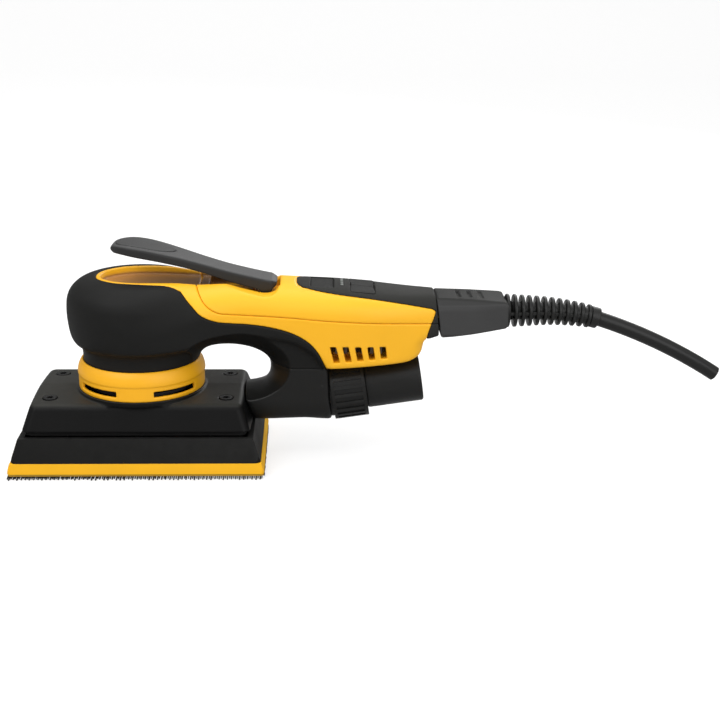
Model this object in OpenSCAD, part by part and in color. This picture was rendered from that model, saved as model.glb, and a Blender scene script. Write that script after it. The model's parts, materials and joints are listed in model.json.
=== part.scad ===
// Corded hand sander with a rectangular pad, a round motor head and an arched rear handle.
// The net lies on z = 0 and the motor axis is the z axis. Handle, dust outlet and cable point
// to the rear, +x. The pad is drawn at the -y end of its orbit.

/* [Node] */
// sub-part to draw, or all of them

/* [Pad] */
// length of the sanding pad
pad_length = 133; // [125:1:140]
// width of the sanding pad
pad_width = 81; // [76:1:84]
// thickness of the abrasive net
net_thickness = 1.2; // [0.8:0.1:1.6]
// diameter of the orbit that the pad follows
orbit = 3.0; // [2:0.5:4]

/* [Head] */
// largest radius of the round motor head
head_radius = 37.9; // [36.5:0.1:39]
// largest radius of the exhaust ring
ring_radius = 33.8; // [33.4:0.1:34.6]

/* [Outlet] */
// outside radius of the hose fitting
outlet_radius = 13.5; // [12.8:0.1:13.5]
// rise of the outlet towards the rear, in degrees
outlet_tilt = 8.3; // [6:0.1:10]

/* [Cord] */
// diameter of the cable
cable_diameter = 8; // [7:0.1:9]
// direction of the cut end of the cable below level, in degrees
cable_end = 32.6; // [26:0.1:38]

/* [Fits] */
// gap between fixed neighbours
gap = 0.08; // [0.05:0.01:0.12]
// radial clearance of running fits
run = 0.05; // [0.03:0.01:0.08]

/* [Hidden] */
$fn = 64;

eccentricity = orbit/2;
// undersides of the pad's layers, and the top of its plate
hook_z = net_thickness;
cushion_z = hook_z + 1.2;
plate_z = cushion_z + 5.5;
plate_top = plate_z + 12.4;
hole_pitch = [11.4, 11];
// centres of the four soft legs
pillar_x = 46;
pillar_y = 20.2;
// motor barrel, and the z range of its iron core
barrel_in = 26.5;
barrel_out = 28.3;
core_low = 62;
core_high = 82;
// bearings: radii of the bores and outsides, undersides
journal_radius = 5;
top_journal_radius = 3.5;
pad_bearing_radius = 14;
lower_bearing_radius = 13;
upper_bearing_radius = 9.5;
pad_bearing_z = 22.05;
lower_bearing_z = 52.1;
upper_bearing_z = 84.4;
// hinge pin of the lever
pin_x = 67;
pin_z = 93.6;
pin_radius = 2;
// centre of the outlet's root
outlet_x = 101;
outlet_z = 35.6;

/* ---------- curves and outlines ---------- */
// point on the curve from start to end, given their neighbours
function blend(before, start, end, after, t) = 0.5*(2*start + (end - before)*t
    + (2*before - 5*start + 4*end - after)*t*t + (3*start - before - 3*end + after)*t*t*t);
// smooth open curve through the points, with the given steps in each span
function curve(points, steps = 4) = let (last = len(points) - 1) concat(
    [for (i = [0:last - 1], k = [0:steps - 1]) blend(points[max(i - 1, 0)], points[i],
        points[i + 1], points[min(i + 2, last)], k/steps)],
    [points[last]]);
// smooth closed curve
function ring_curve(points, steps = 4) = let (n = len(points))
    [for (i = [0:n - 1], k = [0:steps - 1]) blend(points[(i + n - 1)%n], points[i],
        points[(i + 1)%n], points[(i + 2)%n], k/steps)];
function back(points) = [for (i = [len(points) - 1:-1:0]) points[i]];
function shift(points, by) = [for (p = points) p + by];
// rounded rectangle
function pill(half_length, half_width, radius, steps = 6) =
    [for (c = [0:3], k = [0:steps]) let (t = c*90 + k*90/steps)
        [(c == 0 || c == 3 ? 1 : -1)*(half_length - radius) + radius*cos(t),
        (c < 2 ? 1 : -1)*(half_width - radius) + radius*sin(t)]];
// closed plan from its +y half [x, half width]
function both(half) = concat(half, [for (p = back(half)) [p[0], -p[1]]]);
// closed cross section from its +y half [y, z], whose ends lie on y = 0
function both_y(half) =
    concat(half, [for (i = [len(half) - 2:-1:1]) [-half[i][0], half[i][1]]]);

/* ---------- basic solids ---------- */
// prisms on outlines in [x, z], [x, y] and [y, z]
module side(points, half_width) rotate([90, 0, 0])
    linear_extrude(height = 2*half_width, center = true) polygon(points);
module plan(points, z0, z1) translate([0, 0, z0]) linear_extrude(height = z1 - z0) polygon(points);
module section(points, x0, x1) translate([x0, 0, 0]) rotate([90, 0, 90])
    linear_extrude(height = x1 - x0) polygon(points);
// boxes: between limits, and centred on y = 0
module slab(x0, x1, y0, y1, z0, z1) translate([x0, y0, z0]) cube([x1 - x0, y1 - y0, z1 - z0]);
module block(x0, x1, half_width, z0, z1) slab(x0, x1, -half_width, half_width, z0, z1);
// cylinders: upright, upright on the z axis, along y, along x
module post(x, y, z0, z1, radius) translate([x, y, z0]) cylinder(r = radius, h = z1 - z0);
module drum(z0, z1, radius) post(0, 0, z0, z1, radius);
module rod_y(x, z, half_width, radius) translate([x, half_width, z]) rotate([90, 0, 0])
    cylinder(r = radius, h = 2*half_width);
module rod_x(x0, x1, y, z, radius) translate([x0, y, z]) rotate([0, 90, 0])
    cylinder(r = radius, h = x1 - x0);
// part of a ring about the z axis, from +x towards +y
module arc(z0, z1, inner, outer, angle) translate([0, 0, z0]) rotate_extrude(angle = angle)
    translate([inner, 0]) square([outer - inner, z1 - z0]);
// tapered block from size low at z0 to size high at z1, sizes as [half length, half width]
module frustum(low, z0, high, z1, radius) intersection() {
    side([[-low[0], z0], [low[0], z0], [high[0], z1], [-high[0], z1]], low[1] + 1);
    rotate([0, 0, 90])
        side([[-low[1], z0], [low[1], z0], [high[1], z1], [-high[1], z1]], low[0] + 1);
    plan(pill(low[0], low[1], radius), z0 - 1, z1 + 1);
}

// repeats and frames
module around(count, start = 0) for (i = [0:count - 1])
    rotate([0, 0, start + i*360/count]) children();
module at_pad() translate([0, -eccentricity, 0]) children();
module at_pillars() for (x = [-1, 1], y = [-1, 1])
    translate([x*pillar_x, y*pillar_y, 0]) children();
module at_duct_screws() for (y = [-1, 1]) translate([90, y*15.6, 0]) children();
module at_bracket_screws(z) around(3, 30) translate([23.2, 0, z]) children();
// local z runs out along the outlet
module at_outlet() translate([outlet_x, 0, outlet_z]) rotate([0, -outlet_tilt, 0])
    rotate([0, 90, 0]) children();

// ball bearing standing on z = 0
module bearing(bore, outer, width, balls) {
    middle = (bore + outer)/2;
    ball = (outer - bore)*0.27;
    lip = ball*0.62;
    for (race = [[middle + lip, outer], [bore, middle - lip]]) difference() {
        drum(0, width, race[1]);
        drum(-1, width + 1, race[0]);
        translate([0, 0, width/2]) rotate_extrude() translate([middle, 0])
            circle(r = ball + 0.04);
    }
    around(balls) translate([middle, 0, width/2]) sphere(r = ball);
}
// screw pointing down, with its head on z = 0 and a star recess of three crossed slots
module screw(radius, length, head_radius, head_height) difference() {
    union() {
        drum(-length, 0, radius);
        drum(-0.01, head_height, head_radius);
    }
    for (a = [0:60:120]) translate([0, 0, head_height*0.35]) rotate([0, 0, a])
        translate([-head_radius*0.55, -head_radius*0.16, 0])
            cube([head_radius*1.1, head_radius*0.32, head_height]);
}

/* ---------- body shape ---------- */
// side view of the handle [x, z]: top to the rear, then underside to the front
top_line = curve([[4, 98.3], [20, 98.6], [40, 98.5], [60, 98.0], [73.5, 97.1], [91, 96.3],
    [104, 95.7], [117, 94.7], [130, 93.1], [143, 91.7], [156.2, 90.7]], 3);
bottom_line = curve([[158.4, 67.9], [154, 66.9], [151.4, 66.4], [150.6, 63], [149, 59],
    [143.6, 55.7], [136, 54.6], [123, 54], [110, 53.4], [98.6, 53]], 3);
handle_side = concat(top_line, bottom_line,
    curve([[92, 62], [80, 69], [60, 71], [30, 66], [6, 66]], 3));
// plan of the handle [x, half width]
handle_plan = curve([[-8, 35.5], [10, 35.8], [22, 33], [32, 29.3], [42, 26.3], [52, 24.6],
    [64, 23.9], [80, 23.9], [96, 24.1], [108, 23.8], [122, 22.6], [136, 20.2], [148, 17.6],
    [158, 15.4], [161, 15]], 2);
// half cross section of the handle [y, z below its ridge]
handle_half = curve([[0, 0], [7, -0.4], [13, -1.7], [17, -3.7], [20, -6.6], [22.5, -11],
    [24, -17], [26, -24], [26, -32], [24, -38], [20, -42.5], [14, -45], [0, -46]], 3);
// the ridge falls to the rear from its height at x = 0
ridge_z = 100.2;
ridge_fall = 2.6;
// side view of the line between the black grip and the yellow shell [x, z]
grip_line = curve([[13, 99.6], [17.5, 98.6], [23, 95.6], [28.8, 89.3], [34.5, 83.4],
    [41.5, 80], [48.6, 78.8], [60.4, 77.7], [72.3, 75.6], [81.8, 72.6], [89, 68.4],
    [93.7, 63.4], [96.8, 57.5], [98.6, 52]], 3);
// joint between the lower and the upper shell [x, z]
seam_line = curve([[29.5, 101], [30.6, 98], [33.7, 92.3], [36.5, 88.6], [40.1, 85.7],
    [45.3, 83.8], [59.7, 82.6], [79.4, 81.3], [99.2, 79.6], [126.3, 77.8], [138.7, 77.1],
    [153, 76.2]], 3);
// lower edge of the dark panel, then down the rear edge of the yellow shell [x, z]
panel_line = curve([[82.6, 98.5], [83.3, 95.5], [91, 93.8], [104, 92.0], [122, 89.7],
    [141, 86.5], [154, 83.9]], 3);
rear_line = curve([[156.1, 82.6], [155.5, 80.2], [153.8, 75.6], [152.2, 71], [151.6, 67.6],
    [151.6, 64], [150.6, 58]], 3);
// plan of the yellow field on top of the head [x, y]
dish_plan = ring_curve([[-22, 0], [-19.5, 9], [-11, 17], [1, 20.2], [16, 20.4], [34, 19.4],
    [34, -19.4], [16, -20.4], [1, -20.2], [-11, -17], [-19.5, -9]], 4);
// plan of the recess under the lever [x, half width]
recess_plan = both(curve([[-19.6, 0.4], [-17.6, 7.5], [-10, 14.4], [0, 17.2], [12, 16.9],
    [26, 14.6], [38, 12.4], [50, 11.1], [62, 10.8], [73, 10.6], [74.8, 9.4]], 3));

// regions in side view that belong to the shells and the dark trim
yellow_zone = concat(grip_line, [[98.6, 40], [170, 40], [170, 110], [13, 110]]);
upper_zone = concat(seam_line, [[170, 75.6], [170, 110], [29.5, 110]]);
dark_zone = concat(panel_line, rear_line, [[146.5, 40], [170, 40], [170, 110], [82.6, 110]]);

// half section swept along the falling ridge of the handle
module handle_sweep(half, x0) translate([0, 0, ridge_z]) rotate([0, ridge_fall, 0])
    section(both_y(half), x0, x0 + 190);
module handle_env() intersection() {
    side(handle_side, 40);
    plan(both(handle_plan), 50, 101);
    handle_sweep(handle_half, -10);
}

// profile of the head [radius, z], bottom to top
head_profile = curve([[30.4, 47.5], [30.5, 56], [31.1, 60.5], [33.2, 63.3], [35.0, 64.6],
    [36.4, 67.6], [37.3, 72.2], [head_radius, 78], [head_radius, 83.4], [37.3, 88],
    [35.3, 92.2], [31.3, 95.8], [26.4, 97.7], [20, 98.4]], 3);
module head_env() rotate_extrude($fn = 96)
    polygon(concat(head_profile, [[0, 98.6], [0, 47.5]]));

// flat-sided leg from the arch down to the outlet: side view [x, z], half section [y, z]
leg_side = concat([[20, 92], [60, 88]],
    curve([[92, 72], [98.9, 53], [99.9, 44], [100.3, 35.6]], 3), [[102, 22.2]],
    curve([[100.8, 20.6], [96, 21.2], [88, 22.4], [78, 21.8], [66, 20.8], [60.6, 21]], 2),
    [[55.2, 36.9], [34, 37.2], [28.6, 60]]);
leg_half = curve([[0, 19.4], [8, 19.9], [13.4, 22], [17, 26], [18.8, 32], [19.4, 40],
    [20.6, 52], [22.3, 66], [23, 74], [23, 95]], 3);
module leg_env() intersection() {
    side(leg_side, 30);
    section(both_y(concat(leg_half, [[0, 95]])), 0, 130);
}

// finger opening [x, z]: outline at y = 0 and outline at the sides
open_mid = ring_curve([[30.6, 47], [31.4, 55.1], [36.5, 59.8], [46, 61.2], [56, 60],
    [63.6, 57.1], [68.2, 52.9], [69, 47.8], [67.4, 43], [63, 39.6], [52, 38.4], [36, 39.2]], 3);
open_out = ring_curve([[25.6, 50], [27.4, 62.5], [34, 67.8], [45, 70.3], [57, 70.6],
    [68, 67.6], [77, 61.4], [81, 53.4], [79.4, 45], [72.5, 38], [56, 32.8], [34, 36]], 3);
open_stations = [-30, -23, -20.5, -17.5, -13.5, -8.5, -3, 3, 8.5, 13.5, 17.5, 20.5, 23, 30];
// share of the side outline at y
function flare(y) = min(1, pow(abs(y)/21, 1.7));
module opening() {
    n = len(open_mid);
    last = len(open_stations) - 1;
    points = [for (y = open_stations, i = [0:n - 1])
        let (p = open_mid[i] + (open_out[i] - open_mid[i])*flare(y)) [p[0], y, p[1]]];
    polyhedron(points = points, faces = concat(
        [[for (i = [0:n - 1]) i]],
        [[for (i = [n - 1:-1:0]) last*n + i]],
        [for (j = [0:last - 1], i = [0:n - 1]) [j*n + i, (j + 1)*n + i, j*n + (i + 1)%n]],
        [for (j = [0:last - 1], i = [0:n - 1])
            [j*n + (i + 1)%n, (j + 1)*n + i, (j + 1)*n + (i + 1)%n]]));
}

// hollow inside the handle: side view [x, z], plan and section inset from the outside
cavity_side = concat([[31.2, 89], [31.2, 88.4]],
    curve([[36, 86.2], [41.5, 83.4], [48.6, 82], [60.4, 80.8], [72.3, 78.8], [81.8, 75.8],
        [90.2, 71], [95.6, 65.4], [99.4, 60.6], [101.4, 59.4]], 2),
    [[136, 59.4], [140.5, 60.4], [144.4, 66], [147.4, 72], [148.6, 84], [141, 85],
        [122, 87.6], [104, 89.4], [88, 90.6], [82, 88], [57, 88], [54, 88.6], [40, 88.6]]);
cavity_plan = [for (p = handle_plan) if (p[0] > 20) [p[0], p[1] - 2.8]];
cavity_half = concat([for (i = [0:len(handle_half) - 4]) let (p = handle_half[i])
    [max(0, p[0] - 2.7), p[1] < -30 ? p[1] + 2.4 : p[1] - 2.7]], [[0, -42.6]]);
module cavity() intersection() {
    side(cavity_side, 30);
    handle_sweep(cavity_half, 0);
    plan(both(cavity_plan), 50, 95);
}

// side view of the stepped shoulders beside the rear of the lever [x, z]
saddle_side = concat(curve([[44, 98.6], [48.3, 96.3], [54.6, 94.3], [61.7, 92.5], [66, 91.6],
    [70.4, 92.1], [73.2, 94.1], [74.2, 96.6], [74.6, 99.5]], 3), [[74.8, 104], [44, 104]]);
module recess() {
    plan(recess_plan, 94.6, 110);
    // deeper towards the hinge
    intersection() {
        plan(recess_plan, 91.2, 95);
        block(38, 80, 20, 90, 96);
    }
    block(61, 74.6, 10, 89.8, 92);
    side(saddle_side, 40);
}
// five slanted slots on each side, shorter towards the rear
vent_pitch = 6.5;
vent_width = 3.4;
module vents() for (i = [0:4])
    let (t = i/4, x = 100.4 + i*vent_pitch, slant = 2.2 - 1.3*t,
        high = 65.8 - 0.6*t, low = 56.8 + 1.6*t)
    for (y = [-1, 1]) translate([0, y*27.5, 0])
        side([[x, high], [x + vent_width, high], [x + vent_width + slant, low],
            [x + slant, low]], 12.5);
module socket_opening() block(140, 170, 11.1, 70.9, 85.1);
module board_bay(top) block(86, 128.4, 11, 80, top);

/* ---------- pad ---------- */
corner_radius = 1.6;
// staggered grid
module net_holes() for (i = [-5:5], j = [-3:3]) if ((i + j)%2 != 0)
    post(i*hole_pitch[0], j*hole_pitch[1], -1, 3, 1.6);
// ten holes, given as grid steps from the centre
module air_holes(z0, z1) for (p = [[3, 0], [3, 2], [1, 2]], x = [-1, 1], y = [-1, 1])
    if (p[1] > 0 || y > 0) post(p[0]*x*hole_pitch[0], p[1]*y*hole_pitch[1], z0, z1, 2.4);
module net_sheet(inset, z0, z1) at_pad() difference() {
    plan(pill(pad_length/2 - inset, pad_width/2 - inset, corner_radius), z0, z1);
    net_holes();
}
module abrasive_net() color([0.16, 0.16, 0.16]) net_sheet(0, 0, net_thickness);
module hook_layer() color([0.75, 0.62, 0.25]) net_sheet(0.4, hook_z, cushion_z);
module pad_cushion() color([0.97, 0.72, 0.17]) at_pad() difference() {
    frustum([pad_length/2 - 0.1, pad_width/2], cushion_z,
        [pad_length/2 - 1.5, pad_width/2 - 0.7], plate_z, 1.8);
    air_holes(0, 12);
    at_pillars() drum(plate_z - 3.2, plate_z + 1, 4.6);
}
module pad_plate() color([0.13, 0.13, 0.13]) at_pad() difference() {
    floor_z = plate_z + 3.5;
    union() {
        difference() {
            frustum([64.7, 39.5], plate_z, [60.7, 36.1], plate_top, 3.5);
            translate([0, 0, plate_z + 4]) frustum([59, 34], 0, [57.4, 32.8], 10, 2);
        }
        // bearing hub, pillar bosses and ribs
        drum(floor_z, 30.8, 17.4);
        at_pillars() drum(floor_z, plate_top - 0.2, 8.6);
        around(2) block(16, 59, 1.2, floor_z, plate_top - 1);
        around(2, 90) block(16, 34, 1.2, floor_z, plate_top - 1);
    }
    drum(plate_z - 1, 40, 6);
    drum(22, 40, pad_bearing_radius + 0.03);
    air_holes(0, 30);
    at_pillars() {
        drum(0, 40, 2.6);
        drum(18.2, 40, 7.2);
    }
}
module plate_screws() color([0.6, 0.6, 0.62]) at_pad() at_pillars()
    translate([0, 0, plate_z - 0.1]) rotate([180, 0, 0]) screw(2, 13.5, 4.2, 2.6);
module eccentric_bearing() color([0.72, 0.72, 0.74]) at_pad() translate([0, 0, pad_bearing_z])
    bearing(journal_radius, pad_bearing_radius, 8, 8);

/* ---------- spindle ---------- */
crank_radius = 8;
fan_seat_radius = 6;
rotor_seat_radius = 4.9;
clip_z = 51;
clip_groove_width = 0.9;
clip_groove_radius = 5.5;
module motor_shaft() color([0.7, 0.7, 0.72]) difference() {
    union() {
        post(0, -eccentricity, 21, 31, journal_radius - run);
        drum(31, 38.9, crank_radius);
        drum(38.8, 52, fan_seat_radius);
        drum(52, 60, journal_radius - run);
        drum(59.9, 84, rotor_seat_radius);
        drum(83.9, 91, top_journal_radius - run);
    }
    translate([0, -eccentricity, 22]) cylinder(r = 1.6, h = 6, center = true);
    translate([0, 0, clip_z]) rotate_extrude() translate([clip_groove_radius, 0])
        square([2, clip_groove_width]);
}
// rotor iron with four magnets
module rotor_magnets() color([0.3, 0.31, 0.34]) {
    difference() {
        drum(core_low, core_high, 11.4);
        drum(core_low - 2, core_high + 2, rotor_seat_radius + 0.05);
    }
    around(4, 4) arc(core_low + 0.5, core_high - 0.5, 11.5, 14.1, 82);
}
// collar with a heavier +y side
module counterweight() color([0.45, 0.45, 0.47]) difference() {
    union() {
        drum(32, 38.6, 11.6);
        intersection() {
            drum(32, 38.6, 15.6);
            slab(-20, 20, 1, 20, 30, 40);
        }
    }
    drum(30, 42, crank_radius + 0.05);
    for (x = [-1, 1]) post(x*8, 9.6, 30, 42, 1.3);
}
module cooling_fan() color([0.2, 0.2, 0.22]) difference() {
    union() {
        drum(39.2, 41, 27);
        drum(39.2, 50.6, 10);
        around(12) translate([9, -0.7, 40.9]) rotate([0, 0, 14]) cube([17.2, 1.4, 7.6]);
    }
    drum(36, 52, fan_seat_radius + 0.04);
}
module shaft_clip() color([0.35, 0.35, 0.36]) difference() {
    drum(clip_z + 0.06, clip_z + clip_groove_width - 0.06, 8.2);
    drum(50, 53, clip_groove_radius + 0.04);
    block(3, 10, 1.6, 50, 53);
}

/* ---------- shells ---------- */
module barrel_bore() {
    drum(40, 83.2, barrel_in);
    drum(83, 91.4, upper_bearing_radius + 0.05);
    around(6, 30) translate([17.5, 0, 83]) cylinder(r = 4.2, h = 5.4);
}
module main_housing() color([0.98, 0.74, 0.2]) difference() {
    union() {
        drum(48, 95, barrel_out);
        intersection() {
            union() {
                handle_env();
                head_env();
            }
            union() {
                side(yellow_zone, 40);
                plan(dish_plan, 94.9, 110);
            }
        }
    }
    barrel_bore();
    cavity();
    recess();
    side(shift(upper_zone, [-0.1, -0.1]), 40);
    side(shift(dark_zone, [-0.1, 0]), 40);
    vents();
    // two holes between barrel and handle
    rod_x(20, 40, 0, 86, 3);
    rod_x(20, 40, 9, 86, 1.8);
    block(92, 98.9, 40, 30, 53.04);
    socket_opening();
    at_outlet() drum(-2, 20.4, 18);
    // room for the cuff of a hose on the outlet
    at_outlet() drum(18, 78, outlet_radius + 1.7);
}
module top_cover() color([0.99, 0.77, 0.22]) difference() {
    ear_radius = 2.9;
    ear_half_width = 1.1;
    union() {
        difference() {
            intersection() {
                handle_env();
                side(upper_zone, 40);
            }
            cavity();
            recess();
            side(shift(dark_zone, [-0.1, -0.1]), 40);
            drum(80, 95, barrel_out + 0.1);
            board_bay(95);
            socket_opening();
        }
        // two ears that carry the pin of the lever
        for (y = [-6.3, 6.3]) translate([0, y, 0]) {
            block(pin_x - ear_radius, pin_x + ear_radius, ear_half_width, 89.5, pin_z);
            rod_y(pin_x, pin_z, ear_half_width, ear_radius);
        }
    }
    rod_y(pin_x, pin_z, 15, pin_radius + 0.02);
}
module grip_overmold() color([0.2, 0.2, 0.2]) difference() {
    union() {
        head_env();
        intersection() {
            union() {
                handle_env();
                leg_env();
            }
            block(0, 120, 40, 52.6, 110);
        }
    }
    side(shift(yellow_zone, [-0.1, -0.1]), 45);
    // groove over the collar ring
    difference() {
        drum(50, 54.2, 32.4);
        drum(49, 55, 30.5);
    }
    plan([for (p = dish_plan) p*1.006], 94.8, 110);
    drum(40, 95.08, barrel_out + gap);
    opening();
    block(20, 50, 40, 30, 52.6);
    // where the yellow shell closes over the leg
    block(98.7, 110, 30, 50, 60);
    at_duct_screws() drum(50, 60, 1.25);
}
// control panel and rear trim before they are parted at the seam
module dark_env() difference() {
    intersection() {
        handle_env();
        side(dark_zone, 40);
    }
    cavity();
    socket_opening();
    for (b = [0:2]) button_well(b, 0.2);
    board_bay(90.2);
    light_row(80, light_radius + 0.04);
}
module control_panel() color([0.28, 0.28, 0.27]) intersection() {
    dark_env();
    side(shift(upper_zone, [0, 0.05]), 40);
}
module rear_trim() color([0.2, 0.2, 0.2]) difference() {
    dark_env();
    side(shift(upper_zone, [0, -0.05]), 40);
}

/* ---------- buttons and lights ---------- */
// power, speed up, speed down: [centre x, z, tilt, half length, low y, high y]
buttons = [
    [96.7, 96.1, 2.6, 5.9, -10.2, 10.2],
    [117.9, 94.6, 5, 6.4, -13.6, -0.25],
    [117.9, 94.6, 5, 6.4, 0.25, 13.6]];
// switch under each button: [x, y, top of its stem]
switches = [[97, 0, 91.1], [117, -4, 89.7], [117, 4, 89.7]];
light_radius = 0.8;
button_board_top = 86.8;
module button_frame(b) translate([buttons[b][0], 0, buttons[b][1]])
    rotate([0, buttons[b][2], 0]) children();
// button b grown by the given play; the two speed buttons share theirs across the middle
module button_well(b, play) {
    y0 = buttons[b][4];
    y1 = buttons[b][5];
    button_frame(b) translate([0, (y0 + y1)/2, -3.4 - play*24]) linear_extrude(height = 12)
        polygon(pill(buttons[b][3] + play, (y1 - y0)/2 + (b == 0 ? play : play/2), 1.4));
}
module button(b) {
    intersection() {
        handle_env();
        button_well(b, 0);
    }
    // foot over the switch
    button_frame(b) slab(-2.2, 2.2, switches[b][1] - 2, switches[b][1] + 2, -4.2, -3.2);
}
module power_button() color([0.24, 0.24, 0.24]) button(0);
module speed_up_button() color([0.24, 0.24, 0.24]) button(1);
module speed_down_button() color([0.24, 0.24, 0.24]) button(2);
module light_row(z0, radius) for (i = [-2:2]) post(107, i*3, z0, 100, radius);
module panel_lights() color([0.8, 0.9, 0.8]) intersection() {
    handle_env();
    light_row(button_board_top + 0.1, light_radius);
}
module button_board() color([0.1, 0.35, 0.2]) block(88, 126, 10, 85.6, button_board_top);
module button_switches() color([0.15, 0.15, 0.15]) for (s = switches) {
    post(s[0], s[1], button_board_top + 0.04, 87.8, 2.6);
    post(s[0], s[1], 87.7, s[2], 1.5);
}

/* ---------- collar, shroud and duct ---------- */
// profile [radius, z], with four slots through the wall
module collar_ring() color([0.95, 0.7, 0.16]) difference() {
    rotate_extrude($fn = 96) polygon([[31.8, 38.5], [ring_radius - 0.8, 38.5],
        [ring_radius - 0.35, 39.2], [ring_radius - 0.35, 46.5], [ring_radius, 47],
        [ring_radius - 0.1, 49], [ring_radius - 0.7, 51.2], [31.3, 54.1],
        [30.56, 54.1], [30.56, 49], [31.8, 46]]);
    for (a = [208, 287, 28, 107]) rotate([0, 0, a]) arc(40.9, 43.9, 30, 38, 45);
}
shroud_plan = ring_curve([[-59, 33], [-30, 36.5], [30, 36.5], [59, 33], [60.2, 0], [59, -33],
    [30, -36.5], [-30, -36.5], [-59, -33], [-60.2, 0]], 4);
module dust_shroud() color([0.17, 0.17, 0.17]) difference() {
    union() {
        intersection() {
            frustum([59.4, 36], 23.2, [55.4, 31.1], 36.4, 4.5);
            plan(shroud_plan, 20, 40);
        }
        // low ridge along the top, and the round seat of the collar
        rotate([0, 0, 90])
            side([[-31.1, 36], [31.1, 36], [31.1, 36.4], [0, 37.9], [-31.1, 36.4]], 55.4);
        drum(36, 38.45, 34);
    }
    frustum([57, 33.6], 22, [53, 28.8], 34.2, 3);
    drum(30, 40, 29);
    at_pillars() {
        drum(35.2, 42, 3.8);
        drum(30, 42, 2.2);
    }
    block(45, 65, 14.1, 24.6, 33.4);
}
module shroud_seal() color([0.07, 0.07, 0.07]) difference() {
    frustum([57.05, 33.73], 20.75, [55.46, 31.82], 25.6, 3.1);
    plan(pill(53.6, 30, 2), 20, 26);
    block(45, 65, 14.6, 24.2, 34);
}
module shroud_screws() color([0.12, 0.12, 0.12]) at_pillars() translate([0, 0, 35.25])
    screw(2, 7, 3.5, 1.9);
// soft legs between shroud and pad, leaning with the pad's offset
module pad_pillars() color([0.1, 0.1, 0.1]) at_pillars() difference() {
    union() {
        drum(31, 34.1, 6.4);
        translate([0, 0, 32]) rotate([-atan(eccentricity/13), 0, 0])
            translate([0, 0, -13.2]) cylinder(r = 4.6, h = 13);
        at_pad() drum(18.4, 20.6, 6.4);
    }
    drum(27.4, 36, 2.1);
    at_pad() drum(16, 22.4, 2.1);
}
module dust_duct() color([0.15, 0.15, 0.15]) difference() {
    union() {
        difference() {
            leg_env();
            block(0, 130, 40, 52.52, 120);
            opening();
            // space of the shroud and head in front
            side([[0, 10], [60.6, 10], [60.4, 21], [59.7, 23.2], [55.8, 36.4],
                [55.7, 60], [0, 60]], 40);
        }
        block(52, 61, 13.9, 24.8, 33.2);
        at_outlet() drum(-1, 9.6, 15.4);
    }
    at_outlet() {
        drum(3, 15.7, outlet_radius + 0.1);
        drum(-22, 0.6, 9.8);
        drum(0.3, 3.8, 14.6);
    }
    block(50, 84, 11.9, 26.4, 31.6);
    at_duct_screws() drum(46, 60, 1.3);
}
module duct_screws() color([0.2, 0.2, 0.2]) at_duct_screws() drum(46.2, 59.5, 1.2);

/* ---------- motor ---------- */
// six poles, parted by windows and narrow mouths
module stator_core() color([0.5, 0.5, 0.52]) difference() {
    cut_low = core_low - 2;
    cut_high = core_high + 2;
    drum(core_low, core_high, barrel_in - 0.06);
    around(6) arc(cut_low, cut_high, 15.8, 23.2, 40);
    drum(cut_low, cut_high, 14.6);
    around(6, 17) slab(10, 17, -1.2, 3.2, cut_low, cut_high);
}
module stator_coils() color([0.72, 0.4, 0.18]) around(6, -10) difference() {
    block(16.6, 22.2, 5.7, 60.4, 83.1);
    block(16, 23, 4.2, core_low - 0.2, core_high + 0.2);
}
module lower_bearing() color([0.72, 0.72, 0.74]) translate([0, 0, lower_bearing_z])
    bearing(journal_radius, lower_bearing_radius, 7.8, 8);
module upper_bearing() color([0.72, 0.72, 0.74]) translate([0, 0, upper_bearing_z])
    bearing(top_journal_radius, upper_bearing_radius, 6, 7);
module bearing_bracket() color([0.55, 0.55, 0.57]) difference() {
    union() {
        drum(57, 60, barrel_in - gap);
        drum(51.9, 60, 15.4);
    }
    drum(51, 60.2, lower_bearing_radius + 0.03);
    around(6) translate([20.8, 0, 50]) cylinder(r = 3.4, h = 12);
    at_bracket_screws(50) cylinder(r = 1.3, h = 12);
}
module bracket_screws() color([0.3, 0.3, 0.3]) at_bracket_screws(56.94)
    rotate([180, 0, 0]) screw(1.2, 3.6, 2.3, 1.4);

/* ---------- lever ---------- */
// side view [x, z]: top to the rear, then underside to the front
lever_top = curve([[-14.5, 113.2], [-11.6, 115.8], [-6, 116.6], [0, 116.3], [8.6, 114.7],
    [21.9, 111.0], [35.1, 106.9], [48.4, 103.0], [61.8, 99.8], [70.5, 98.0]], 3);
lever_low = curve([[73.4, 96.6], [73.0, 94.6], [70.4, 92.6], [66, 91.9], [61.7, 92.8],
    [48.3, 96.6], [34.9, 101.4], [21.6, 105.6], [8.3, 109], [-5, 111.3], [-11.4, 111.6]], 3);
// plan [x, half width]
lever_plan = curve([[-14.6, 0.6], [-13, 6.2], [-8, 11.2], [-1, 14], [7, 14.4], [15, 13.4],
    [26, 11.3], [38, 9.9], [52, 9.5], [66, 9.4], [70.4, 9.2], [73.6, 6.4]], 3);
// plan of the inlay [x, y]
inlay_plan = ring_curve([[-11, 0], [-8, 7.4], [0, 10.8], [8, 10.6], [15, 7.6], [20, 0],
    [15, -7.6], [8, -10.6], [0, -10.8], [-8, -7.4]], 4);
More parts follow.
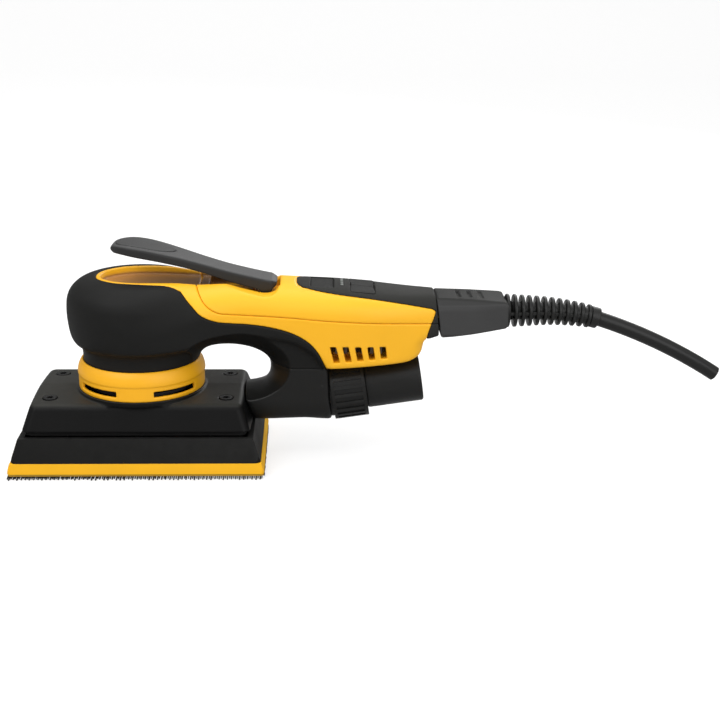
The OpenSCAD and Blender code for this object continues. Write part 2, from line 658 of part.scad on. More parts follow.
// upper face of the leaf spring [x, z]
spring_line = curve([[60.2, 91.8], [57.8, 92.5], [55.6, 94.4], [53.2, 97.2], [51, 98.9]], 3);
magnet_x = 44;
magnet_radius = 2;
module lever() color([0.25, 0.25, 0.25]) difference() {
    union() {
        intersection() {
            side(concat(lever_top, lever_low), 20);
            plan(both(lever_plan), 85, 120);
        }
        rod_y(pin_x, pin_z, 9.1, 3.4);
    }
    // hollow underside
    intersection() {
        side(concat(shift(lever_top, [0, -3]), [[62, 90], [-10, 90]]), 20);
        plan(both([for (p = lever_plan) if (p[1] > 2.2) [p[0]*0.94 + 2, p[1] - 1.7]]), 85, 120);
        block(-11, 58, 20, 85, 120);
    }
    // pocket of the inlay
    intersection() {
        side(concat(shift(lever_top, [0, -0.9]), [[70, 125], [-14, 125]]), 20);
        plan([for (p = inlay_plan) p*1.012], 100, 130);
    }
    rod_y(pin_x, pin_z, 8.3, pin_radius + run);
    // slots for the ears of the cover
    for (y = [-7.6, 5]) slab(63, 71, y, y + 2.6, 85, 96.9);
    post(magnet_x, 0, 98.7, 103.06, magnet_radius + 0.05);
}
module lever_inlay() color([0.34, 0.34, 0.34]) intersection() {
    side(concat(shift(lever_top, [0, 0.15]), back(shift(lever_top, [0, -0.86]))), 20);
    plan(inlay_plan, 100, 130);
}
module lever_magnet() color([0.7, 0.7, 0.72]) post(magnet_x, 0, 100.9, 103, magnet_radius);
module lever_pin() color([0.7, 0.7, 0.72]) rod_y(pin_x, pin_z, 8.2, pin_radius);
module lever_spring() color([0.6, 0.6, 0.62])
    side(concat(spring_line, back(shift(spring_line, [-0.15, -0.45]))), 3.2);
module hall_switch() color([0.12, 0.12, 0.12]) {
    block(41, 50, 4, 87, 88.3);
    block(43, 45.4, 1.5, 85.6, 86.96);
}

/* ---------- electronics ---------- */
board_top = 68.8;
parts_z = board_top + 0.04;
contact_pitch = 6;
contact_z = 78;
contact_radius = 1.2;
module circuit_board() color([0.1, 0.36, 0.22]) difference() {
    block(100.8, 142, 14.6, 67.2, board_top);
    for (x = [103, 140], y = [-1, 1]) post(x, y*12.4, 60, 70, 1.3);
}
module board_parts() color([0.14, 0.14, 0.16]) {
    // three cans, four blocks, a ring and a row of small blocks
    for (y = [-8.4, 0, 8.4]) post(109, y, parts_z, 80.6, 3.9);
    for (x = [118.2, 124.4], y = [-5, 5]) slab(x, x + 4.4, y - 3, y + 3, parts_z, 73.4);
    difference() {
        post(135, 0, parts_z, 74.6, 6.4);
        post(135, 0, 60, 80, 2.9);
    }
    for (i = [0:4]) slab(104 + i*7, 107.6 + i*7, 11, 13.4, parts_z, 71.4);
}
module heat_sink() color([0.72, 0.73, 0.75]) difference() {
    block(103.4, 132, 16.4, 59.8, 67.1);
    for (i = [0:5]) block(105.2 + i*4.6, 108 + i*4.6, 20, 58, 66.1);
    block(100, 140, 9, 58, 65.9);
}
module contact_rods(x0, x1, radius) for (i = [-1:1])
    rod_x(x0, x1, i*contact_pitch, contact_z, radius);
module socket_block() color([0.1, 0.1, 0.1]) difference() {
    block(148, 156, 11, 71, 85);
    contact_rods(145, 165, contact_radius + 0.02);
}
module contact_pins() color([0.78, 0.66, 0.3]) contact_rods(146, 164, contact_radius);

/* ---------- outlet ---------- */
module locking_sleeve() color([0.12, 0.12, 0.12]) at_outlet() difference() {
    union() {
        drum(0.9, 2.5, 17.3);
        drum(2.4, 17.8, 16.7);
        drum(17.4, 19.2, 17.4);
        around(24) translate([16, -0.9, 2.4]) cube([1.35, 1.8, 15.2]);
    }
    drum(-1, 10.2, 15.45);
    drum(9, 21, outlet_radius + 0.25);
}
// profile [radius, distance along the outlet], with a groove for the seal
neck_radius = outlet_radius - 0.5;
groove_radius = outlet_radius - 0.95;
module hose_fitting() color([0.17, 0.17, 0.17]) at_outlet() difference() {
    rotate_extrude($fn = 72) polygon([[11.6, 0.6], [14.3, 0.6], [14.3, 3.4],
        [neck_radius, 3.4], [neck_radius, 5.2], [groove_radius, 5.2], [groove_radius, 6.4],
        [neck_radius, 6.4], [neck_radius, 19.7], [outlet_radius, 19.7], [outlet_radius, 48.6],
        [outlet_radius - 0.7, 49.5], [12.2, 49.5], [11.6, 49]]);
    for (a = [150, 178, 206]) rotate([0, 0, a]) translate([9, -0.8, 35.6]) cube([8, 1.6, 7.5]);
}
module outlet_seal() color([0.05, 0.05, 0.05]) at_outlet() translate([0, 0, 5.8])
    rotate_extrude() translate([outlet_radius - 0.42, 0]) circle(r = 0.48, $fn = 24);

/* ---------- cord ---------- */
cable_radius = cable_diameter/2;
cable_z = 79.1;
// connector: side view [x, z], plan [x, half width], section [y, z]
plug_side = [[156.7, 88.2], [157.5, 89.0], [176, 88.2], [191.6, 87.0], [193.8, 86.2],
    [194.6, 84.4], [194.6, 74.4], [193.4, 72.8], [181, 70.6], [166, 68.1], [160.2, 67.5],
    [159.2, 68.5]];
plug_plan = [[155, 15], [166, 14.9], [180, 14.4], [190, 13.7], [195, 13.2]];
plug_section = [[-15.2, 69.8], [-12.8, 67.2], [12.8, 67.2], [15.2, 69.8], [15.2, 82.8],
    [14, 85.4], [10.4, 89.1], [-10.4, 89.1], [-14, 85.4], [-15.2, 82.8]];
module cord_connector() color([0.3, 0.3, 0.3]) difference() {
    intersection() {
        side(plug_side, 20);
        plan(both(plug_plan), 60, 95);
        section(plug_section, 0, 210);
    }
    for (x = [169, 175, 181]) block(x - 0.8, x + 0.8, 7, 87.0, 90);
    contact_rods(150, 176, 2.05);
    block(175.9, 190.1, 8, 75.4, 82.4);
    rod_x(190, 200, 0, cable_z, cable_radius + gap);
}
module contact_sleeves() color([0.78, 0.66, 0.3]) difference() {
    contact_rods(160.6, 175, 2);
    contact_rods(159, 168, contact_radius + run);
}

// centre line of the cable: level up to bend_x, one bend in the strain relief up to joint_x,
// then one wide bend outside
bend_x = 210;
bend_radius = 150;
joint_x = 242.6;
joint_lean = 15;
wide_bend_start = -17.5;
wide_bend_radius = 288;
function relief_angle(x) = x < bend_x ? 0 : asin((x - bend_x)/bend_radius);
function relief_z(x) = x < bend_x ? cable_z
    : cable_z - bend_radius + sqrt(bend_radius*bend_radius - (x - bend_x)*(x - bend_x));
joint_z = relief_z(joint_x);

// sweeps a section down an arc that starts at x, z; angles are slopes of the centre line
module bend(x, z, start, end, radius)
    translate([x + radius*sin(start), 0, z - radius*cos(start)])
    rotate([90, 0, 0]) rotate([0, 0, end + 90])
    rotate_extrude(angle = start - end, $fn = 360) translate([radius, 0]) children();
module relief_bend() bend(bend_x, cable_z, 0, -relief_angle(joint_x), bend_radius) children();
module wide_bend() bend(joint_x, joint_z, wide_bend_start, -cable_end, wide_bend_radius)
    children();
module relief_disc(x, radius, width) translate([x, 0, relief_z(x)])
    rotate([0, 90 + relief_angle(x), 0]) cylinder(r = radius, h = width, center = true);

rib_count = 11;
rib_pitch = 3.98;
module strain_relief() color([0.13, 0.13, 0.13]) difference() {
    union() {
        rod_x(194.7, 196.6, 0, cable_z, 9);
        // shrinking ribs on a thinner core
        for (i = [0:rib_count - 1]) {
            relief_disc(199.6 + i*rib_pitch, 8.4 - i*0.245, 1.9);
            relief_disc(197.8 + i*rib_pitch, 5.3, 4.6);
        }
        relief_disc(joint_x, 5.7, 5);
    }
    rod_x(190, bend_x + 0.2, 0, cable_z, cable_radius + gap + 0.05);
    relief_bend() circle(r = cable_radius + gap);
    translate([joint_x, 0, joint_z]) sphere(r = cable_radius + 0.3);
    wide_bend() circle(r = cable_radius + gap + 0.1);
}
// round cord from x0 to the cut end; balls larger by extra fill the joints
module along(radius, x0, extra) {
    rod_x(x0, bend_x + 0.02, 0, cable_z, radius, $fn = 32);
    translate([bend_x, 0, cable_z]) sphere(r = radius + extra, $fn = 32);
    relief_bend() circle(r = radius, $fn = 32);
    translate([joint_x, 0, joint_z]) sphere(r = radius + extra, $fn = 32);
    wide_bend() circle(r = radius, $fn = 32);
}
module cable_jacket() color([0.27, 0.27, 0.27]) difference() {
    along(cable_radius, 191, 0.05);
    along(2.95, 190, 0.12);
}
// one core, offset sideways and upwards from the centre line
core_radius = 1.17;
module core(y, up) {
    rod_x(176.2, bend_x + 0.4, y, cable_z + up, core_radius, $fn = 32);
    relief_bend() translate([up, -y]) circle(r = core_radius + 0.04, $fn = 32);
    translate([joint_x + up*sin(joint_lean), y, joint_z + up*cos(joint_lean)])
        rotate([0, 90 + joint_lean, 0]) sphere(r = core_radius + 0.14, $fn = 32);
    wide_bend() translate([up, -y]) circle(r = core_radius, $fn = 32);
}
module cable_cores() color([0.35, 0.25, 0.2]) {
    core(0, 1.5);
    core(1.36, -0.78);
    core(-1.36, -0.78);
}

abrasive_net();
hook_layer();
pad_cushion();
pad_plate();
plate_screws();
eccentric_bearing();
motor_shaft();
rotor_magnets();
counterweight();
cooling_fan();
shaft_clip();
main_housing();
top_cover();
grip_overmold();
control_panel();
rear_trim();
collar_ring();
dust_shroud();
shroud_seal();
shroud_screws();
pad_pillars();
dust_duct();
duct_screws();
stator_core();
stator_coils();
lower_bearing();
upper_bearing();
bearing_bracket();
bracket_screws();
lever_pin();
lever_spring();
hall_switch();
circuit_board();
board_parts();
heat_sink();
button_board();
button_switches();
panel_lights();
socket_block();
contact_pins();
lever();
lever_inlay();
lever_magnet();
power_button();
speed_up_button();
speed_down_button();
locking_sleeve();
hose_fitting();
outlet_seal();
cord_connector();
contact_sleeves();
strain_relief();
cable_jacket();
cable_cores();
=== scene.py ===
"""A corded sander with a long pad, built over its CAD pieces.

The pad lies flat near z = 0 with its long side along x. The round head stands on the z axis, and
the handle runs from it towards +x, where the cord leaves. The piece is symmetric in y.
Shapes are signed distance fields in millimetres, negative inside, turned into meshes in metres.
"""
import json
import math

import bmesh
import bpy
import numpy as np
import openvdb as vdb
from mathutils import Matrix, Vector


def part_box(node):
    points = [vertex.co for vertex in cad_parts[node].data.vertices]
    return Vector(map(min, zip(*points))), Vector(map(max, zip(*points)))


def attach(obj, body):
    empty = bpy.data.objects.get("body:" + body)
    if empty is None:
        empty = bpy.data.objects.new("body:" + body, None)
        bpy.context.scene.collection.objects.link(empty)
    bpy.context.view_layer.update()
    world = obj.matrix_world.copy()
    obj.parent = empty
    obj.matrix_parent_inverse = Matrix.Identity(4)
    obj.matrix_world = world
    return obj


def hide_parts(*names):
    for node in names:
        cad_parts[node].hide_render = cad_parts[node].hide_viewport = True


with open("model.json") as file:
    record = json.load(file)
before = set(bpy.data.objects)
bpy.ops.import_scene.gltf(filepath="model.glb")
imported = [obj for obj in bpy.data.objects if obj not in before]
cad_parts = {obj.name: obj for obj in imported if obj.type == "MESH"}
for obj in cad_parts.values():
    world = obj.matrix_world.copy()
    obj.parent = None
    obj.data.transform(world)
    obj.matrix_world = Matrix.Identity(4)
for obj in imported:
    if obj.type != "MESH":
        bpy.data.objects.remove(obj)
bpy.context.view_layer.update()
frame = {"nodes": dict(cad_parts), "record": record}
MM = 0.001
COARSE = 1.0  # factor on every grid cell
SLOT = {part["node"]: part["material_slot"] for part in frame["record"]["subparts"]}
BODY = {node: body for body, nodes in frame["record"]["behaviour"]["bodies"].items()
        for node in nodes}


# ---------------------------------------------------------------- outlines
CURVE_STEPS = 8  # points per span


def curve(points, closed=False):
    """A Catmull-Rom curve through the points."""
    points = [np.array(p, float) for p in points]
    count = len(points)
    out = []
    for i in range(count if closed else count - 1):
        if closed:
            a, b = points[i - 1], points[i]
            c, d = points[(i + 1) % count], points[(i + 2) % count]
        else:
            a, b = points[max(i - 1, 0)], points[i]
            c, d = points[i + 1], points[min(i + 2, count - 1)]
        for k in range(CURVE_STEPS):
            t = k / CURVE_STEPS
            out.append(0.5 * (2 * b + (c - a) * t + (2 * a - 5 * b + 4 * c - d) * t * t
                              + (3 * b - a - 3 * c + d) * t ** 3))
    if not closed:
        out.append(points[-1])
    return np.array(out)


def chain(*parts):
    return np.concatenate([np.asarray(p, float).reshape(-1, 2) for p in parts])


def mirrored(half):
    """Closes a half plan with its mirror image in y."""
    return chain(half, [[x, -y] for x, y in half[::-1]])


def outline_distance(outline, U, V):
    """Signed distance to a closed outline, negative inside."""
    U, V = np.broadcast_arrays(U, V)
    U = U.astype(np.float64)
    V = V.astype(np.float64)
    outline = np.asarray(outline, float)
    nearest = np.full(U.shape, 1e18)
    inside = np.zeros(U.shape, bool)
    for i in range(len(outline)):
        ax, ay = outline[i]
        bx, by = outline[(i + 1) % len(outline)]
        ex, ey = bx - ax, by - ay
        length2 = ex * ex + ey * ey
        if length2 < 1e-12:
            continue
        t = np.clip(((U - ax) * ex + (V - ay) * ey) / length2, 0, 1)
        nearest = np.minimum(nearest, (U - ax - t * ex) ** 2 + (V - ay - t * ey) ** 2)
        if ay != by:
            inside ^= ((ay > V) != (by > V)) & (U < ex * (V - ay) / ey + ax)
    return (np.where(inside, -1, 1) * np.sqrt(nearest)).astype(np.float32)


# ---------------------------------------------------------------- combining fields
def meet(*fields, soft=0.0):
    """The overlap of fields, its edges rounded over the width soft."""
    result = fields[0]
    for other in fields[1:]:
        if soft > 0:
            near = np.maximum(soft - np.abs(result - other), 0) / soft
            result = np.maximum(result, other) + near * near * (soft * 0.25)
        else:
            result = np.maximum(result, other)
    return result


def join(*fields, soft=0.0):
    return -meet(*[-f for f in fields], soft=soft)


def cut(field, *tools, soft=0.0):
    return meet(field, *[-t for t in tools], soft=soft)


def rounded_box(past_x, past_y, radius):
    """A round-cornered rectangle, from the distances past its corner centres."""
    corner = np.sqrt(np.maximum(past_x, 0) ** 2 + np.maximum(past_y, 0) ** 2)
    return corner + np.minimum(np.maximum(past_x, past_y), 0) - radius


class Grid:
    """A block of sample points and the basic fields on it."""

    CROWN_MARGIN = 20  # extra height sampled below and above a crowned outline

    def __init__(self, low, high, cell):
        self.cell = cell = cell * COARSE
        self.low = np.array(low, float)
        self.x, self.y, self.z = [
            (lo + cell * np.arange(int(math.ceil((hi - lo) / cell)) + 1)).astype(np.float32)
            for lo, hi in zip(low, high)]
        self.X, self.Y, self.Z = self.x[:, None, None], self.y[None, :, None], self.z[None, None, :]
        self.coords = self.X, self.Y, self.Z

    def full(self, field):
        shape = len(self.x), len(self.y), len(self.z)
        return np.ascontiguousarray(np.broadcast_to(field, shape)).astype(np.float32)

    def xz(self, outline):
        return outline_distance(outline, self.x[:, None], self.z[None, :])[:, None, :]

    def xy(self, outline):
        return outline_distance(outline, self.x[:, None], self.y[None, :])[:, :, None]

    def yz(self, outline):
        return outline_distance(outline, self.y[:, None], self.z[None, :])[None]

    def xz_crown(self, outline, fall):
        """An outline in x and z whose height falls away sideways by fall * y * y."""
        margin, cell = self.CROWN_MARGIN, self.cell
        count = len(self.z) + int(2 * margin / cell)
        tall = (self.z[0] - margin + cell * np.arange(count)).astype(np.float32)
        flat = outline_distance(outline, self.x[:, None], tall[None, :])
        out = np.empty((len(self.x), len(self.y), len(self.z)), np.float32)
        for j, y in enumerate(self.y):
            y = float(y)
            place = (self.z + fall * y * y - tall[0]) / cell
            i = np.clip(np.floor(place).astype(int), 0, len(tall) - 2)
            part = np.clip(place - i, 0, 1).astype(np.float32)
            out[:, j, :] = flat[:, i] * (1 - part) + flat[:, i + 1] * part
        return out

    def lathe(self, outline):
        """An outline in radius and z turned about the z axis."""
        radius = np.sqrt(self.X ** 2 + self.Y ** 2)[:, :, 0]
        steps = (self.cell * np.arange(int(radius.max() / self.cell) + 3)).astype(np.float32)
        flat = outline_distance(outline, steps[:, None], self.z[None, :])
        place = radius / self.cell
        i = np.floor(place).astype(int)
        part = (place - i).astype(np.float32)[..., None]
        return flat[i] * (1 - part) + flat[i + 1] * part

    def rod_x(self, y, z, radius):
        return np.sqrt((self.Y - y) ** 2 + (self.Z - z) ** 2) - radius

    def rod_y(self, x, z, radius):
        return np.sqrt((self.X - x) ** 2 + (self.Z - z) ** 2) - radius

    def rod_z(self, x, y, radius):
        return np.sqrt((self.X - x) ** 2 + (self.Y - y) ** 2) - radius

    def barrel(self, radius, z0, z1):
        """A cylinder on the head's axis."""
        return meet(self.rod_z(0, 0, radius), z0 - self.Z, self.Z - z1)

    def box(self, x0, x1, y0, y1, z0, z1):
        return meet(np.abs(self.X - (x0 + x1) / 2) - (x1 - x0) / 2,
                    np.abs(self.Y - (y0 + y1) / 2) - (y1 - y0) / 2,
                    np.abs(self.Z - (z0 + z1) / 2) - (z1 - z0) / 2)


# ---------------------------------------------------------------- fields to meshes
def sample(field, points):
    """Trilinear values of a field at points given in cells."""
    i = np.clip(np.floor(points).astype(int), 0, np.array(field.shape) - 2)
    a, b, c = i.T
    u, v, w = (points - i).astype(np.float32).T

    def layer(dc):
        return ((field[a, b, c + dc] * (1 - u) + field[a + 1, b, c + dc] * u) * (1 - v)
                + (field[a, b + 1, c + dc] * (1 - u) + field[a + 1, b + 1, c + dc] * u) * v)

    return layer(0) * (1 - w) + layer(1) * w


def slopes(field, points, reach):
    out = np.empty((len(points), 3), np.float32)
    for k in range(3):
        step = np.zeros(3)
        step[k] = reach
        out[:, k] = (sample(field, points + step) - sample(field, points - step)) / (2 * reach)
    return out


def link_object(name, mesh):
    ob = bpy.data.objects.new(name, mesh)
    bpy.context.scene.collection.objects.link(ob)
    return ob


def new_object(name, verts_mm, faces):
    mesh = bpy.data.meshes.new(name)
    mesh.from_pydata([tuple(v) for v in (np.asarray(verts_mm) * MM).tolist()], [], faces)
    mesh.validate()
    mesh.update()
    return link_object(name, mesh)


def smooth_faces(mesh):
    mesh.polygons.foreach_set("use_smooth", [True] * len(mesh.polygons))


def skin(name, grid, field):
    """The zero surface of a field as a mesh, with its normals taken from the field."""
    pad = 2
    field = np.pad(grid.full(field), pad, constant_values=3.0)
    volume = vdb.FloatGrid(1000.0)
    volume.copyFromArray(field)
    points, quads = volume.convertToQuads(isovalue=0.0)
    points = np.asarray(points, float)
    quads = np.asarray(quads, int)
    # Newton steps onto the surface, each under half a cell
    for _ in range(3):
        value = sample(field, points)
        slope = slopes(field, points, 0.5)
        step = -(value / np.maximum((slope * slope).sum(1), 0.05))[:, None] * slope
        length = np.linalg.norm(step, axis=1)
        step *= np.minimum(1, 0.45 / np.maximum(length, 1e-9))[:, None]
        points = points + step
    slope = slopes(field, points, 0.6)
    normals = slope / np.maximum(np.linalg.norm(slope, axis=1), 1e-6)[:, None]
    a, b, c = points[quads[:, 0]], points[quads[:, 1]], points[quads[:, 2]]
    if (np.cross(b - a, c - a) * normals[quads[:, 0]]).sum() < 0:
        quads = quads[:, ::-1]
    places = (points - pad) * grid.cell + grid.low
    mesh = bpy.data.meshes.new(name)
    mesh.vertices.add(len(places))
    mesh.vertices.foreach_set("co", (places * MM).astype(np.float32).ravel())
    mesh.loops.add(quads.size)
    mesh.loops.foreach_set("vertex_index", quads.astype(np.int32).ravel())
    mesh.polygons.add(len(quads))
    mesh.polygons.foreach_set("loop_start", (np.arange(len(quads)) * 4).astype(np.int32))
    smooth_faces(mesh)
    mesh.update(calc_edges=True)
    mesh.normals_split_custom_set_from_vertices([tuple(v) for v in normals.tolist()])
    return link_object(name, mesh)


# ---------------------------------------------------------------- materials
def srgb(*levels):
    """Linear colour from 0-255 sRGB levels."""
    def linear(c):
        return (c / 255 / 12.92) if c / 255 <= 0.04045 else ((c / 255 + 0.055) / 1.055) ** 2.4
    return tuple(linear(c) for c in levels) + (1.0,)


def add_node(tree, kind, inputs, **settings):
    """A shader node whose inputs take either a value or another node's socket."""
    node = tree.nodes.new("ShaderNode" + kind)
    for key, value in settings.items():
        setattr(node, key, value)
    for key, value in inputs.items():
        if isinstance(value, bpy.types.NodeSocket):
            tree.links.new(value, node.inputs[key])
        else:
            node.inputs[key].default_value = value
    return node


def map_range(tree, value, span, to=(0.0, 1.0), **settings):
    inputs = {"Value": value, "From Min": span[0], "From Max": span[1],
              "To Min": to[0], "To Max": to[1]}
    return add_node(tree, "MapRange", inputs, **settings).outputs[0]


def mix_colour(tree, factor, first, second):
    return add_node(tree, "Mix", {0: factor, 6: first, 7: second}, data_type="RGBA").outputs[2]


def make_finish(name, colour, rough, vary=0.08, grain=900.0, bump=0.12, blotch=0.05, wear=0.25,
                wear_colour=None, metal=0.0, spec=0.5, lines=None, dish_shade=None, upward_shade=None):
    """A grained surface: colour mottle, roughness variation, fine bump and lighter worn edges.

    lines is (scale, axis, height) of fine bump bands. dish_shade is the front and rear colour of
    the lever's painted shade and reflection on the dish floor. upward_shade is painted light and
    shade: a colour for faces that look up, from one normal z to another.
    """
    material = bpy.data.materials.new(name)
    material.use_nodes = True
    tree = material.node_tree
    tree.nodes.clear()
    place = add_node(tree, "TexCoord", {}).outputs["Object"]

    def noise(scale, detail):
        inputs = {"Scale": scale, "Detail": detail, "Vector": place}
        return add_node(tree, "TexNoise", inputs).outputs["Fac"]

    mottle = noise(scale=38, detail=5)
    height = noise(scale=grain, detail=3)
    base = add_node(tree, "RGB", {}).outputs[0]
    base.default_value = colour
    value = map_range(tree, mottle, span=(0.3, 0.7), to=(1 - blotch, 1 + blotch))
    shade = add_node(tree, "HueSaturation", {"Color": base, "Value": value}).outputs[0]
    # painted shade and reflection of the lever on the dish floor, darker towards the rear
    if dish_shade:
        dish_shade_mask = add_node(tree, "Attribute", {}, attribute_name="dish").outputs["Fac"]
        along = add_node(tree, "SeparateXYZ", {0: place}).outputs["X"]
        rearward = map_range(tree, along, span=(-0.015, 0.035))
        shade = mix_colour(tree, dish_shade_mask, shade, mix_colour(tree, rearward, *dish_shade))
    # worn edges
    pointed = add_node(tree, "NewGeometry", {}).outputs["Pointiness"]
    edges = map_range(tree, pointed, span=(0.53, 0.66))
    patches = noise(scale=160, detail=4)
    worn = add_node(tree, "Math", {0: edges, 1: patches}, operation="MULTIPLY").outputs[0]
    worn = add_node(tree, "Math", {0: worn, 1: wear}, operation="MULTIPLY", use_clamp=True)
    wear_colour = wear_colour or tuple(min(1, c * 1.6 + 0.03) for c in colour[:3]) + (1,)
    shade = mix_colour(tree, worn.outputs[0], shade, wear_colour)
    # painted light and shade: faces that look up get their own colour, lighter or darker than the
    # sides
    if upward_shade:
        upward_shade_colour, low, high = upward_shade
        normal = add_node(tree, "NewGeometry", {}).outputs["Normal"]
        upward = add_node(tree, "SeparateXYZ", {0: normal}).outputs["Z"]
        upward_shade_weight = map_range(tree, upward, span=(low, high), interpolation_type="SMOOTHSTEP")
        shade = mix_colour(tree, upward_shade_weight, shade, upward_shade_colour)
    rough_span = max(0.04, rough - vary), min(1, rough + vary)
    roughness = map_range(tree, mottle, span=(0.25, 0.75), to=rough_span)
    if lines:
        scale, axis, amount = lines
        wave = add_node(tree, "TexWave", {"Scale": scale, "Distortion": 1.5, "Vector": place},
                        bands_direction=axis).outputs["Fac"]
        height = add_node(tree, "Math", {0: wave, 1: amount, 2: height},
                          operation="MULTIPLY_ADD").outputs[0]
    relief = add_node(tree, "Bump", {"Strength": bump, "Distance": 0.0002, "Height": height})
    surface = add_node(tree, "BsdfPrincipled", {
        "Base Color": shade, "Roughness": roughness, "Normal": relief.outputs[0],
        "Metallic": metal, "Specular IOR Level": spec, "Coat Roughness": 0.25})
    add_node(tree, "OutputMaterial", {0: surface.outputs[0]})
    return material


GLOSSY_SHELL = dict(vary=0.06, grain=1500, bump=0.05, blotch=0.02)
FINISHES = {
    # the yellow shell's dish floor colours are the lever's painted shade and reflection
    "yellow_shell": dict(colour=srgb(255, 188, 32), rough=0.42, spec=0.35, **GLOSSY_SHELL,
                         wear_colour=srgb(255, 214, 120),
                         dish_shade=(srgb(180, 124, 60), srgb(136, 94, 44))),
    "ring": dict(colour=srgb(255, 184, 16), rough=0.45, wear=0.3, **GLOSSY_SHELL,
                 wear_colour=srgb(250, 200, 100)),
    "pad_cushion": dict(colour=srgb(252, 187, 32), rough=0.75, grain=2600, bump=0.45,
                        blotch=0.04, wear=0.3, spec=0.25),
    "soft_grip": dict(colour=srgb(21, 21, 20), rough=0.6, vary=0.07, grain=2200, bump=0.22,
                      blotch=0.08, wear=0.5, spec=0.2),
    "black_plastic": dict(colour=srgb(21, 21, 20), rough=0.4, grain=1900, bump=0.25,
                          blotch=0.08, wear=0.7, spec=0.3),
    # the shroud's lighter tops are painted light from above
    "shroud": dict(colour=srgb(9, 9, 9), rough=0.45, grain=1900, bump=0.25, blotch=0.06,
                   wear=0.5, spec=0.14, upward_shade=(srgb(50, 50, 47), 0.55, 0.97)),
    # the plug's darker tops are painted shade
    "plug": dict(colour=srgb(66, 66, 66), rough=0.6, spec=0.1, vary=0.06, grain=2100, bump=0.2,
                 blotch=0.06, wear=0.4, upward_shade=(srgb(43, 43, 42), 0.45, 0.95)),
    "panel": dict(colour=srgb(45, 45, 43), rough=0.6, spec=0.1, vary=0.06, grain=2100, bump=0.2,
                  wear=0.4),
    "pad_plate": dict(colour=srgb(18, 18, 17), rough=0.55, spec=0.16, grain=1700, bump=0.3,
                      blotch=0.07, wear=0.6),
    "hook_layer": dict(colour=srgb(190, 150, 60), rough=0.9, vary=0.05, grain=3200, bump=0.9,
                       blotch=0.12, wear=0.2, spec=0.1),
    "abrasive_net": dict(colour=srgb(12, 11, 10), rough=0.8, vary=0.15, grain=2600, bump=1.0,
                         blotch=0.25, wear=0.8, spec=0.25),
    "seal": dict(colour=srgb(16, 16, 16), rough=0.75, grain=1500, bump=0.3, wear=0.2, spec=0.25),
    "screw_black": dict(colour=srgb(34, 34, 34), rough=0.38, vary=0.1, grain=1800, wear=1.2,
                        metal=0.6),
    "steel": dict(colour=srgb(180, 180, 184), rough=0.28, vary=0.1, bump=0.08, wear=0.4,
                  metal=1.0, lines=(900, "Z", 0.4)),
    "laminated_steel": dict(colour=srgb(120, 120, 124), rough=0.42, vary=0.1, bump=0.4,
                            wear=0.3, metal=0.9, lines=(620, "Z", 1.6)),
    "copper": dict(colour=srgb(186, 102, 48), rough=0.35, vary=0.1, bump=0.5, wear=0.3,
                   metal=0.85, lines=(520, "Z", 2.0)),
    "magnet": dict(colour=srgb(92, 92, 98), rough=0.3, bump=0.1, wear=0.5, metal=0.9),
    "cast_metal": dict(colour=srgb(140, 141, 145), rough=0.5, vary=0.12, grain=700, bump=0.4,
                       wear=0.4, metal=0.9),
    "fan_plastic": dict(colour=srgb(48, 48, 50), rough=0.5, grain=1500, bump=0.2),
    "spring_steel": dict(colour=srgb(150, 150, 154), rough=0.3, bump=0.1, wear=0.5, metal=1.0),
    "board": dict(colour=srgb(24, 92, 52), rough=0.35, vary=0.06, grain=1200, bump=0.15,
                  blotch=0.15, wear=0.3),
    "components": dict(colour=srgb(30, 30, 32), rough=0.4, vary=0.1, grain=1600, bump=0.2,
                       wear=0.6),
    "sink_metal": dict(colour=srgb(92, 88, 82), rough=0.36, vary=0.1, grain=800, bump=0.15,
                       wear=0.3, metal=0.9, lines=(700, "X", 0.6)),
    "light_pipe": dict(colour=srgb(120, 124, 120), rough=0.3, vary=0.05, grain=1500, bump=0.1,
                       wear=0.2),
    "contact": dict(colour=srgb(210, 170, 84), rough=0.28, bump=0.06, wear=0.3, metal=1.0),
    # the lever's lighter tops are painted light from above
    "lever_plastic": dict(colour=srgb(42, 42, 42), rough=0.5, spec=0.3, vary=0.06, grain=2400,
                          bump=0.28, wear=0.5, upward_shade=(srgb(72, 72, 72), 0.5, 0.95)),
    "inlay": dict(colour=srgb(64, 64, 64), rough=0.6, spec=0.3, vary=0.06, grain=2600,
                  bump=0.35, wear=0.3),
    "button": dict(colour=srgb(42, 42, 41), rough=0.6, spec=0.1, vary=0.05, grain=2200, bump=0.2,
                   wear=0.5),
    "cable": dict(colour=srgb(25, 25, 24), rough=0.34, spec=0.3, grain=1700, bump=0.18,
                  blotch=0.08, wear=0.5),
    "core_wire": dict(colour=srgb(140, 84, 50), rough=0.5, grain=1200, bump=0.1, wear=0.2),
}
MATERIALS = {name: make_finish(name, **look) for name, look in FINISHES.items()}


def dress(ob, node, finish=None):
    """Gives a piece its body and the finish of its slot, and hides the CAD piece it replaces."""
    slot = SLOT[node]
    ob.data.materials.append(MATERIALS[finish or slot])
    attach(ob, BODY[node])
    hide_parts(node)


def make_piece(node, grid, field, finish=None):
    ob = skin(node, grid, field)
    dress(ob, node, finish)
    return ob


